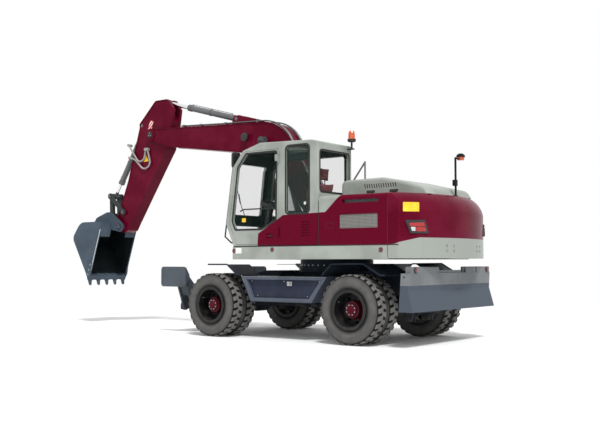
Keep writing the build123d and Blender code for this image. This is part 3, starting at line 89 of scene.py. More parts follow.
class Shade:
    """One node material while it is wired up, with short calls for the usual nodes."""

    def __init__(self, name: str) -> None:
        """Starts an empty material with its Principled shader.

        Args:
            name: The material's name.
        """
        self.material = bpy.data.materials.new(name)
        self.material.use_nodes = True
        self.nodes = self.material.node_tree.nodes
        self.links = self.material.node_tree.links
        self.shader = self.nodes["Principled BSDF"]
        self._coords: dict[tuple, bpy.types.NodeSocket] = {}

    def coords(
        self, shift: Sequence[float] = (0, 0, 0), scale: Sequence[float] = (1, 1, 1)
    ) -> bpy.types.NodeSocket:
        """Object coordinates through a Mapping node.

        Args:
            shift: Added to the coordinates after scaling.
            scale: What each coordinate is multiplied by.

        Returns:
            The vector socket.
        """
        key = (tuple(shift), tuple(scale))
        if key not in self._coords:
            source = self.nodes.new("ShaderNodeTexCoord")
            mapping = self.nodes.new("ShaderNodeMapping")
            mapping.inputs["Location"].default_value = shift
            mapping.inputs["Scale"].default_value = scale
            self.links.new(source.outputs["Object"], mapping.inputs["Vector"])
            self._coords[key] = mapping.outputs["Vector"]
        return self._coords[key]

    def axis(self, letter: str, shift: Sequence[float] = (0, 0, 0)) -> bpy.types.NodeSocket:
        """One coordinate of the object.

        Args:
            letter: X, Y or Z.
            shift: Added to the coordinates.

        Returns:
            The value socket.
        """
        split = self.nodes.new("ShaderNodeSeparateXYZ")
        self.links.new(self.coords(shift), split.inputs[0])
        return split.outputs[letter]

    def math(self, kind: str, *inputs: object) -> bpy.types.NodeSocket:
        """A Math node.

        Args:
            kind: The operation's name.
            inputs: Sockets or numbers.

        Returns:
            The value socket.
        """
        node = self.nodes.new("ShaderNodeMath")
        node.operation = kind
        for socket, value in zip(node.inputs, inputs):
            self.feed(socket, value)
        return node.outputs[0]

    def product(self, *factors: object) -> bpy.types.NodeSocket:
        """Several values multiplied together.

        Args:
            factors: Sockets or numbers.

        Returns:
            The value socket.
        """
        result = factors[0]
        for factor in factors[1:]:
            result = self.math("MULTIPLY", result, factor)
        return result

    def distance(self, across: object, up: object) -> bpy.types.NodeSocket:
        """How far a point is from an axis.

        Args:
            across: Its distance one way.
            up: Its distance the other way.

        Returns:
            The value socket.
        """
        squares = [self.math("POWER", side, 2.0) for side in (across, up)]
        return self.math("SQRT", self.math("ADD", *squares))

    def feed(self, socket: bpy.types.NodeSocket, value: object) -> None:
        """Links a socket, or sets it where the value is a number or a colour.

        Args:
            socket: The input socket.
            value: A socket, a number or a colour.
        """
        if isinstance(value, bpy.types.NodeSocket):
            self.links.new(value, socket)
        elif isinstance(value, tuple) and len(value) == 3 and len(socket.default_value) == 4:
            socket.default_value = (*value, 1)
        else:
            socket.default_value = value

    def noise(self, scale: float, detail: float = 3, vector: object = None) -> bpy.types.NodeSocket:
        """A noise pattern in object space.

        Args:
            scale: Cells to the metre.
            detail: Octaves.
            vector: Other coordinates to read.

        Returns:
            The value socket.
        """
        node = self.nodes.new("ShaderNodeTexNoise")
        node.inputs["Scale"].default_value = scale
        node.inputs["Detail"].default_value = detail
        self.links.new(vector or self.coords(), node.inputs["Vector"])
        return node.outputs["Fac"]

    def ramp(self, value: object, low: float, high: float, out: Point = (0, 1)) -> bpy.types.NodeSocket:
        """Maps a range of a value smoothly to another.

        Args:
            value: The socket to read.
            low: Where the range starts.
            high: Where it ends.
            out: What the two ends become.

        Returns:
            The value socket.
        """
        node = self.nodes.new("ShaderNodeMapRange")
        node.interpolation_type = "SMOOTHSTEP"
        self.feed(node.inputs["Value"], value)
        for name, number in zip(("From Min", "From Max", "To Min", "To Max"), (low, high, *out)):
            node.inputs[name].default_value = number
        return node.outputs["Result"]

    def blend(self, factor: object, first: object, second: object) -> bpy.types.NodeSocket:
        """Mixes two colours.

        Args:
            factor: 0 gives the first and 1 the second.
            first: A colour or a socket.
            second: A colour or a socket.

        Returns:
            The colour socket.
        """
        node = self.nodes.new("ShaderNodeMix")
        node.data_type = "RGBA"
        sockets = [s for s in node.inputs if s.type == "RGBA"]
        self.feed(node.inputs[0], factor)
        self.feed(sockets[0], first)
        self.feed(sockets[1], second)
        return [s for s in node.outputs if s.type == "RGBA"][0]

    def bump(self, height: object, strength: float, distance: float) -> None:
        """Puts a height on the shader as bump.

        Args:
            height: The socket to read.
            strength: How much of it shows.
            distance: Its real height in metres.
        """
        node = self.nodes.new("ShaderNodeBump")
        node.inputs["Strength"].default_value = strength
        node.inputs["Distance"].default_value = distance
        self.feed(node.inputs["Height"], height)
        previous = self.shader.inputs["Normal"]
        if previous.is_linked:
            self.links.new(previous.links[0].from_socket, node.inputs["Normal"])
        self.links.new(node.outputs["Normal"], previous)

    def put(self, **values: object) -> bpy.types.Material:
        """Feeds the shader's sockets, named with underscores for spaces.

        Args:
            values: Numbers, colours or sockets.

        Returns:
            The finished material.
        """
        for name, value in values.items():
            self.feed(self.shader.inputs[name.replace("_", " ")], value)
        return self.material


@dataclass(frozen=True)
class Band:
    """A second colour below a line that runs along the machine."""

    colour: Colour
    line: Outline
    outer_y: float = -9.0


@dataclass(frozen=True)
class Paint:
    """Sprayed enamel: faint orange peel, cloudy gloss and road dust towards the ground."""

    name: str
    colour: Colour
    gloss: float = 0.3
    dust: float = 0.25
    dust_top: float = 1.2
    dust_colour: Colour = (0.12, 0.11, 0.095)
    below: Band | None = None
    # A colour painted on the cab's inner faces as painted shade.
    inside: Colour | None = None
    sheen: float = 0.06

    def make(self) -> bpy.types.Material:
        """Builds the material.

        Returns:
            The material.
        """
        shade = Shade(self.name)
        cloud = shade.noise(2.3, 4)
        fine = shade.noise(38, 3)
        darker, lighter = tint(self.colour, 0.88), tint(self.colour, 1.12, 0.004)
        colour = shade.blend(shade.ramp(cloud, 0.35, 0.65), darker, lighter)
        if self.below:
            colour = shade.blend(self.band_mask(shade), colour, self.below.colour)
        # The cab's inner faces are painted dark: painted shade inside the cab.
        if self.inside:
            colour = shade.blend(self.cabin_shade_mask(shade), colour, self.inside)
        height = shade.axis("Z")
        low = shade.ramp(height, 0.15, self.dust_top, (1, 0))
        spots = shade.ramp(shade.noise(7, 6), 0.38, 0.7)
        film = shade.math("MINIMUM", shade.product(low, spots, self.dust * 2), 0.85)
        colour = shade.blend(film, colour, self.dust_colour)
        rough = shade.math("ADD", shade.ramp(fine, 0.3, 0.7, (self.gloss - 0.04, self.gloss + 0.06)), film)
        shade.bump(shade.noise(420, 2), 0.08, 0.0004)
        shade.bump(shade.noise(3.1, 2), 0.12, 0.003)
        return shade.put(
            Base_Color=colour,
            Roughness=shade.math("MINIMUM", rough, 0.8),
            Specular_IOR_Level=self.sheen,
        )

    def band_mask(self, shade: Shade) -> bpy.types.NodeSocket:
        """The mask of what lies under the band's line.

        Args:
            shade: The material that is being wired.

        Returns:
            A socket that is 1 under the line.
        """
        xs = [p[0] for p in self.below.line]
        along = shade.nodes.new("ShaderNodeMapRange")
        shade.links.new(shade.axis("X"), along.inputs["Value"])
        for name, number in zip(("From Min", "From Max"), (min(xs), max(xs))):
            along.inputs[name].default_value = number
        curve = shade.nodes.new("ShaderNodeValToRGB")
        shade.links.new(along.outputs["Result"], curve.inputs["Fac"])
        stops = curve.color_ramp.elements
        while len(stops) < len(self.below.line):
            stops.new(0.5)
        span = max(xs) - min(xs)
        for stop, (x, z) in zip(stops, sorted(self.below.line)):
            stop.position = (x - min(xs)) / span
            stop.color = (z / 4, z / 4, z / 4, 1)
        rise = shade.math("MULTIPLY", curve.outputs["Color"], 4.0)
        under = shade.math("SUBTRACT", rise, shade.axis("Z"))
        mask = shade.ramp(under, -0.0015, 0.0015)
        skin = shade.ramp(shade.axis("Y"), self.below.outer_y - 0.001, self.below.outer_y)
        return shade.math("MULTIPLY", mask, skin)

    def cabin_shade_mask(self, shade: Shade) -> bpy.types.NodeSocket:
        """The mask of the cab's inner faces, which are painted dark as painted shade.

        Args:
            shade: The material that is being wired.

        Returns:
            A socket that is 1 inside the cab.
        """
        x, y, z = (shade.axis(letter) for letter in "XYZ")
        knee, brow_height = 1.8, 2.536
        nose = shade.math("MULTIPLY", shade.math("SUBTRACT", z, knee), 0.152)
        foot = shade.math("MULTIPLY", shade.math("SUBTRACT", knee, z), 0.457)
        brow = shade.math("MULTIPLY", shade.math("SUBTRACT", z, brow_height), 0.878)
        slope = shade.math("MAXIMUM", shade.math("MAXIMUM", nose, foot), brow)
        front = shade.math("SUBTRACT", SLEW_X + 1.262, slope)
        return shade.product(
            shade.math("LESS_THAN", y, 1.202),
            shade.math("GREATER_THAN", y, 0.398),
            shade.math("LESS_THAN", z, 2.975),
            shade.math("GREATER_THAN", z, 1.475),
            shade.math("GREATER_THAN", x, SLEW_X - 0.482),
            shade.math("LESS_THAN", x, front),
        )


@dataclass(frozen=True)
class Rubber:
    """Tyre rubber with moulded rings on its walls, worn grey on the lugs, with painted shade in the grooves."""

    name: str
    centre: tuple[float, float, float]
    colour: Colour = (0.082, 0.08, 0.077)
    radius: float = 0.509

    def make(self) -> bpy.types.Material:
        """Builds the material.

        Returns:
            The material.
        """
        shade = Shade(self.name)
        x, _, z = self.centre
        radial = shade.distance(shade.axis("X", (-x, 0, -z)), shade.axis("Z", (-x, 0, -z)))
        twin_middle, half_pitch = 0.99, 0.16
        station = shade.math("SUBTRACT", shade.math("ABSOLUTE", shade.axis("Y")), twin_middle)
        from_middle = shade.math("ABSOLUTE", shade.math("SUBTRACT", shade.math("ABSOLUTE", station), half_pitch))
        tread = shade.ramp(from_middle, 0.104, 0.12, (1, 0))
        grime = shade.ramp(shade.noise(9, 6), 0.35, 0.7)
        scuff = shade.ramp(shade.noise(60, 4), 0.35, 0.65)
        wall = shade.blend(grime, self.colour, tint(self.colour, 1.35))
        shoulder = shade.ramp(radial, 0.455, 0.475)
        wall = shade.blend(shoulder, wall, tint(self.colour, 1.5))
        top = shade.blend(scuff, tint(self.colour, 1.5), tint(self.colour, 2.3))
        # Painted shade: the bottoms of the grooves are painted near black.
        depth = shade.ramp(radial, self.radius - 0.024, self.radius - 0.004)
        block = shade.blend(depth, tint(self.colour, 0.16), top)
        colour = shade.blend(tread, wall, block)
        wave = shade.math("SINE", shade.math("MULTIPLY", radial, 420.0))
        band = shade.math("MULTIPLY", shade.ramp(radial, 0.33, 0.35), shade.ramp(radial, 0.40, 0.42, (1, 0)))
        shade.bump(shade.math("MULTIPLY", wave, band), 0.5, 0.0015)
        shade.bump(shade.noise(160, 4), 0.25, 0.0008)
        rough = shade.ramp(grime, 0, 1, (0.72, 0.92))
        return shade.put(Base_Color=colour, Roughness=rough, Specular_IOR_Level=0.2)


@dataclass(frozen=True)
class Metal:
    """Bare or plated metal with drawn scratches along one axis."""

    name: str
    colour: Colour = (0.6, 0.61, 0.62)
    rough: float = 0.16
    grain: tuple[float, float, float] = (8, 260, 8)

    def make(self) -> bpy.types.Material:
        """Builds the material.

        Returns:
            The material.
        """
        shade = Shade(self.name)
        drawn = shade.noise(1, 4, shade.coords((0, 0, 0), self.grain))
        stain = shade.ramp(shade.noise(11, 4), 0.45, 0.75)
        colour = shade.blend(stain, self.colour, tint(self.colour, 0.72))
        shade.bump(drawn, 0.06, 0.0003)
        rough = shade.ramp(drawn, 0.3, 0.7, (self.rough, self.rough + 0.12))
        return shade.put(Base_Color=colour, Roughness=rough, Metallic=1.0)


@dataclass(frozen=True)
class PlatedRod:
    """A plated cylinder rod whose eye is painted."""

    name: str
    eye: Point
    reach: float
    colour: Colour = (0.78, 0.79, 0.8)
    paint: Colour = (0.05, 0.055, 0.058)

    def make(self) -> bpy.types.Material:
        """Builds the material.

        Returns:
            The material.
        """
        shade = Shade(self.name)
        place = (-SLEW_X - self.eye[0], 0, -self.eye[1])
        far = shade.distance(shade.axis("X", place), shade.axis("Z", place))
        bare = shade.ramp(far, self.reach, self.reach + 0.004)
        wipe = shade.ramp(shade.noise(40, 3), 0.3, 0.7, (0.07, 0.16))
        shade.bump(shade.noise(300, 2), 0.05, 0.0002)
        rough = shade.math("ADD", shade.math("MULTIPLY", shade.math("SUBTRACT", 1.0, bare), 0.35), wipe)
        colour = shade.blend(bare, self.paint, self.colour)
        return shade.put(Base_Color=colour, Roughness=rough, Metallic=bare)


@dataclass(frozen=True)
class Moulding:
    """Moulded plastic or sheet rubber with a fine grain."""

    name: str
    colour: Colour
    rough: float = 0.55
    grain: float = 320.0

    def make(self) -> bpy.types.Material:
        """Builds the material.

        Returns:
            The material.
        """
        shade = Shade(self.name)
        cloud = shade.ramp(shade.noise(6, 4), 0.35, 0.7)
        colour = shade.blend(cloud, self.colour, tint(self.colour, 1.35, 0.004))
        shade.bump(shade.noise(self.grain, 2), 0.2, 0.0004)
        rough = shade.ramp(cloud, 0, 1, (self.rough, min(1.0, self.rough + 0.15)))
        return shade.put(Base_Color=colour, Roughness=rough)


@dataclass(frozen=True)
class Pane:
    """Tinted safety glass, with a faint film of dust; the rear quarter pane is made less clear, as painted shade of
    the cab's inside behind it.
    """

    name: str
    colour: Colour = (0.012, 0.03, 0.025)
    clear: float = 0.07
    # How opaque the rear quarter pane is made, as painted shade.
    dark: float = 0.42

    def make(self) -> bpy.types.Material:
        """Builds the material.

        Returns:
            The material.
        """
        shade = Shade(self.name)
        film = shade.ramp(shade.noise(5, 5), 0.4, 0.8)
        # The rear quarter pane is made less clear so it reads dark: painted shade of the cab's inside.
        behind = shade.math("LESS_THAN", shade.axis("X"), SLEW_X + 0.15)
        quarter = shade.math("MULTIPLY", behind, shade.math("GREATER_THAN", shade.axis("Y"), 1.21))
        alpha = shade.math("ADD", shade.math("MULTIPLY", quarter, self.dark - self.clear), self.clear)
        material = shade.put(
            Base_Color=self.colour,
            Roughness=shade.ramp(film, 0, 1, (0.03, 0.09)),
            Alpha=alpha,
            Specular_IOR_Level=0.3,
            IOR=1.5,
        )
        material.surface_render_method = "BLENDED"
        return material


@dataclass(frozen=True)
class Lens:
    """Moulded lamp lens with fluting."""

    name: str
    colour: Colour
    flutes: float = 900.0
    rough: float = 0.14

    def make(self) -> bpy.types.Material:
        """Builds the material.

        Returns:
            The material.
        """
        shade = Shade(self.name)
        cells = shade.nodes.new("ShaderNodeTexVoronoi")
        cells.inputs["Scale"].default_value = self.flutes / 6
        shade.links.new(shade.coords(), cells.inputs["Vector"])
        shade.bump(cells.outputs["Distance"], 0.5, 0.001)
        tone = shade.ramp(cells.outputs["Distance"], 0.1, 0.7)
        colour = shade.blend(tone, self.colour, tint(self.colour, 0.6))
        return shade.put(Base_Color=colour, Roughness=self.rough, Coat_Weight=0.6, Coat_Roughness=0.05)


@dataclass(frozen=True)
class Stripes:
    """Reflective tape with slanting bars of two colours."""

    name: str
    first: Colour = (0.75, 0.75, 0.73)
    second: Colour = (0.6, 0.02, 0.02)
    pitch: float = 0.07

    def make(self) -> bpy.types.Material:
        """Builds the material.

        Returns:
            The material.
        """
        shade = Shade(self.name)
        slant = shade.math("ADD", shade.axis("X"), shade.axis("Z"))
        wave = shade.math("FRACT", shade.math("DIVIDE", slant, self.pitch))
        cells = shade.noise(600, 1)
        shade.bump(cells, 0.3, 0.0004)
        colour = shade.blend(shade.ramp(wave, 0.49, 0.51), self.first, self.second)
        return shade.put(Base_Color=colour, Roughness=shade.ramp(cells, 0.3, 0.7, (0.2, 0.35)))


@dataclass(frozen=True)
class Perforated:
    """Black sheet with rows of round holes, painted near black as painted shade of the dark behind it."""

    name: str
    pitch: float = 0.014
    sheet: Colour = (0.09, 0.09, 0.095)

    def make(self) -> bpy.types.Material:
        """Builds the material.

        Returns:
            The material.
        """
        shade = Shade(self.name)
        holes = shade.nodes.new("ShaderNodeTexVoronoi")
        holes.inputs["Scale"].default_value = 1 / self.pitch
        holes.inputs["Randomness"].default_value = 0.0
        shade.links.new(shade.coords(), holes.inputs["Vector"])
        rim = shade.ramp(holes.outputs["Distance"], 0.28, 0.34)
        shade.bump(rim, 0.6, 0.001)
        # The holes are painted near black: painted shade behind the sheet.
        colour = shade.blend(rim, (0.012, 0.012, 0.012), self.sheet)
        return shade.put(Base_Color=colour, Roughness=shade.ramp(rim, 0, 1, (0.9, 0.4)))


@dataclass(frozen=True)
class Weave:
    """Seat cloth with a woven grain and a soft sheen."""

    name: str
    colour: Colour

    def make(self) -> bpy.types.Material:
        """Builds the material.

        Returns:
            The material.
        """
        shade = Shade(self.name)
        warp = shade.noise(1, 1, shade.coords((0, 0, 0), (240, 900, 240)))
        weft = shade.noise(1, 1, shade.coords((0, 0, 0), (900, 240, 900)))
        thread = shade.math("MULTIPLY", warp, weft)
        dark, light = tint(self.colour, 0.6), tint(self.colour, 1.3)
        shade.bump(thread, 0.4, 0.001)
        return shade.put(
            Base_Color=shade.blend(shade.ramp(thread, 0.15, 0.4), dark, light),
            Roughness=shade.ramp(thread, 0.1, 0.5, (0.95, 0.8)),
            Sheen_Weight=0.35,
            Sheen_Roughness=0.5,
        )


MAROON: Colour = (0.11, 0.0005, 0.0145)
GREIGE: Colour = (0.31, 0.335, 0.305)
INK: Colour = (0.018, 0.025, 0.036)
SLATE: Colour = (0.072, 0.085, 0.1)
SIDE_LINE: Outline = (
    (-2.812, 2.19),
    (-2.8105, 2.176),
    (-2.54, 1.932),
    (-1.752, 1.913),
    (-1.26, 1.64),
    (-1.244, 1.44),
    (-1.243, 1.0),
)


@dataclass
class Finishes:
    """Every finish of the machine, made once and shared."""

    recipes: dict[str, object] = field(
        default_factory=lambda: {
            "body": Paint("maroon enamel", MAROON, 0.26, 0.1),
            "cab": Paint("light grey enamel", GREIGE, 0.3, 0.08),
            "cab side": Paint(
                "two colour enamel",
                GREIGE,
                0.28,
                0.05,
                below=Band(MAROON, SIDE_LINE, 1.19),
                # The cab's inner faces are painted near black as painted shade.
                inside=(0.018, 0.031, 0.028),
            ),
            "cover": Paint(
                "maroon cover enamel",
                GREIGE,
                0.26,
                0.05,
                below=Band(MAROON, ((-4.0, 2.5), (-2.83, 2.5), *SIDE_LINE[1:]), -9.0),
            ),
            "tail": Paint(
                "tail enamel",
                MAROON,
                0.26,
                0.08,
                below=Band(GREIGE, ((-4.3, 1.54), (-3.98, 1.54), (-3.72, 1.45), (-3.5, 1.44)), -9.0),
            ),
            "chassis": Paint("ink enamel", INK, 0.42, 0.42, 1.0),
            "slate": Paint("slate enamel", SLATE, 0.34, 0.3, 0.9),
            "box": Paint("box enamel", (0.09, 0.105, 0.14), 0.34, 0.2, 0.9),
            # A darker copy of the box paint for the recessed panel: painted shade in the recess.
            "panel": Paint("box recess painted shade", (0.028, 0.035, 0.058), 0.4, 0.2, 0.9),
            "mouldboard": Paint(
                "mouldboard enamel with painted shade",
                (0.17, 0.18, 0.188),
                0.4,
                0.12,
                0.8,
                # Below the fold the blade is painted darker: painted shade of its sloping lower face.
                below=Band((0.068, 0.084, 0.108), ((-5.0, 0.87), (0.0, 0.87)), -9.0),
            ),
            "rim": Paint("rim enamel", (0.006, 0.006, 0.0065), 0.35, 0.1, 0.9, sheen=0.3),
            "hub": Paint("hub enamel", (0.075, 0.001, 0.009), 0.4, 0.06, 0.9),
            "ram": Paint("cylinder enamel", (0.115, 0.12, 0.125), 0.32, 0.05, 0.7, sheen=0.3),
            "linkage": Paint("linkage enamel", (0.045, 0.05, 0.052), 0.4, 0.1, 2.4),
            "bucket": Paint("bucket enamel", (0.062, 0.085, 0.112), 0.4, 0.15, 2.4, (0.06, 0.06, 0.058)),
            "chrome": Metal("plated rod", (0.78, 0.79, 0.8), 0.07, (30, 30, 30)),
            "boom rod": PlatedRod("plated boom rod", (1.36, 3.27), 0.13),
            "stick rod": PlatedRod("plated stick rod", (3.88, 4.22), 0.11),
            "bucket rod": PlatedRod("plated bucket rod", (5.36, 2.5), 0.1),
            "steel": Metal("bare steel", (0.42, 0.42, 0.43), 0.3, (40, 40, 40)),
            "bright": Metal("worn edge steel", (0.7, 0.71, 0.72), 0.22, (60, 60, 60)),
            "trim": Moulding("black moulding", (0.014, 0.014, 0.016)),
            "rail": Paint(
                "rail enamel",
                (0.012, 0.012, 0.013),
                0.4,
                0.05,
                below=Band((0.24, 0.24, 0.24), ((-4.3, -1.0), (-2.61, -1.0), (-2.6, 4.0), (0.0, 4.0)), -9.0),
            ),
            "rubber seal": Moulding("window rubber", (0.009, 0.009, 0.01), 0.65),
            "mat": Moulding("floor mat", (0.03, 0.03, 0.032), 0.8, 120),
            "engine": Moulding("engine grey", (0.08, 0.08, 0.085), 0.6, 60),
            "hose": Moulding("hose sleeve", (0.27, 0.25, 0.25), 0.5, 500),
            "dark pipe": Metal("pipe enamel", (0.16, 0.16, 0.165), 0.4, (40, 40, 40)),
            "mirror": Metal("mirror glass", (0.07, 0.075, 0.08), 0.05, (20, 20, 20)),
            "glass": Pane("tinted glass"),
            "red": Lens("red lens", (0.5, 0.012, 0.015)),
            "reflector": Lens("round reflector", (0.2, 0.003, 0.02)),
            "white lens": Lens("clear lens", (0.75, 0.76, 0.78)),
            "amber": Lens("amber lens", (0.85, 0.12, 0.01), 500),
            # Near black colour for the bucket's inside: painted shade in the hollow.
            "worn": Paint("bucket inside painted shade", (0.007, 0.01, 0.012), 0.5, 0.1, 2.4, (0.02, 0.02, 0.02)),
            "yellow": Moulding("yellow plate", (0.8, 0.5, 0.02), 0.4, 200),
            "pale": Moulding("pale plate", (0.7, 0.7, 0.68), 0.4, 200),
            "tape": Stripes("reflective tape"),
            "mesh": Perforated("perforated sheet"),
            "light mesh": Perforated("light perforated sheet", 0.02, (0.2, 0.195, 0.185)),
            "cloth": Weave("seat cloth", (0.16, 0.012, 0.022)),
            "belt": Weave("belt webbing", (0.75, 0.55, 0.03)),
            "tyre front": Rubber("front tyre rubber", (-0.27, 0.0, 0.509)),
            "tyre rear": Rubber("rear tyre rubber", (-2.96, 0.0, 0.509)),
        }
    )
    made: dict[str, bpy.types.Material] = field(default_factory=dict)

    def get(self, name: str) -> bpy.types.Material:
        """The material of a finish, built at its first use.

        Args:
            name: The finish's key.

        Returns:
            The material.
        """
        if name not in self.made:
            self.made[name] = self.recipes[name].make()
        return self.made[name]


# Modelling.


@dataclass(frozen=True)
class Datum:
    """A flat plane to model on: a place, its two directions and its normal."""

    origin: Vector
    across: Vector
    up: Vector

    @property
    def out(self) -> Vector:
        """The plane's normal."""
        return self.across.cross(self.up).normalized()

    def place(self, u: float, v: float, w: float = 0.0) -> Vector:
        """The point at two distances along the plane and one off it."""
        return self.origin + self.across * u + self.up * v + self.out * w


def side_plane(y: float, left: bool = True) -> Datum:
    """The plane at a station across the machine, whose u and v are X from the slew axis and Z.

    Args:
        y: The station.
        left: True if the plane faces left.

    Returns:
        The plane.
    """
    if left:
        return Datum(Vector((SLEW_X, y, 0)), Vector((-1, 0, 0)), Vector((0, 0, 1)))
    return Datum(Vector((SLEW_X, y, 0)), Vector((1, 0, 0)), Vector((0, 0, 1)))


def flank(edge: int, y: float) -> Datum:
    """The upright plane on one side, at a distance from the machine's middle, facing out."""
    return side_plane(edge * y, edge > 0)


def facing(edge: int, points: Sequence[Point]) -> list[Point]:
    """An outline of X from the slew axis and Z, as the plane of one side has it."""
    return [(-edge * x, z) for x, z in points]


def oblong(x0: float, z0: float, x1: float, z1: float) -> list[Point]:
    """The corners of a rectangle, from two opposite ones."""
    return [(x0, z0), (x1, z0), (x1, z1), (x0, z1)]


def circle(count: int, radius: float, start: float = 0.0) -> list[Point]:
    """Places evenly round a circle.

    Args:
        count: How many.
        radius: The circle's radius.
        start: Where the first one is, in steps.

    Returns:
        Their distances from the middle, each way.
    """
    angles = [2 * math.pi * (index + start) / count for index in range(count)]
    return [(radius * math.cos(angle), radius * math.sin(angle)) for angle in angles]


def rounded(points: Sequence[Point], radius: float, steps: int = 5) -> list[Point]:
    """An outline with its corners rounded.

    Args:
        points: The corners in order.
        radius: The radius of each.
        steps: Segments in each corner.

    Returns:
        The points of the rounded outline.
    """
    out: list[Point] = []
    for before, here, after in zip((points[-1], *points[:-1]), points, (*points[1:], points[0])):
        a = (Vector(before) - Vector(here)).normalized()
        b = (Vector(after) - Vector(here)).normalized()
        half = a.angle(b) / 2
        reach = min(radius / math.tan(half), (Vector(before) - Vector(here)).length * 0.45)
        reach = min(reach, (Vector(after) - Vector(here)).length * 0.45)
        bend = reach * math.tan(half)
        centre = Vector(here) + (a + b).normalized() * (bend / math.sin(half))
        start = Vector(here) + a * reach - centre
        end = Vector(here) + b * reach - centre
        turn = start.angle_signed(end)
        for step in range(steps + 1):
            angle = -turn * step / steps
            c, s = math.cos(angle), math.sin(angle)
            out.append((centre.x + start.x * c - start.y * s, centre.y + start.x * s + start.y * c))
    return out


def grown(points: Sequence[Point], amount: float) -> list[Point]:
    """An outline moved outwards by a distance.

    Args:
        points: The corners in order, either way round.
        amount: The distance, or a negative one to shrink.

    Returns:
        The corners of the new outline.
    """
    ring = [Vector(p) for p in points]
    area = sum(a.x * b.y - b.x * a.y for a, b in zip(ring, ring[1:] + ring[:1]))
    amount = amount if area > 0 else -amount
    out: list[Point] = []
    for before, here, after in zip(ring[-1:] + ring[:-1], ring, ring[1:] + ring[:1]):
        first = (here - before).normalized()
        second = (after - here).normalized()
        reach = amount / (1 + first.dot(second))
        out.append((here.x + (first.y + second.y) * reach, here.y - (first.x + second.x) * reach))
    return out


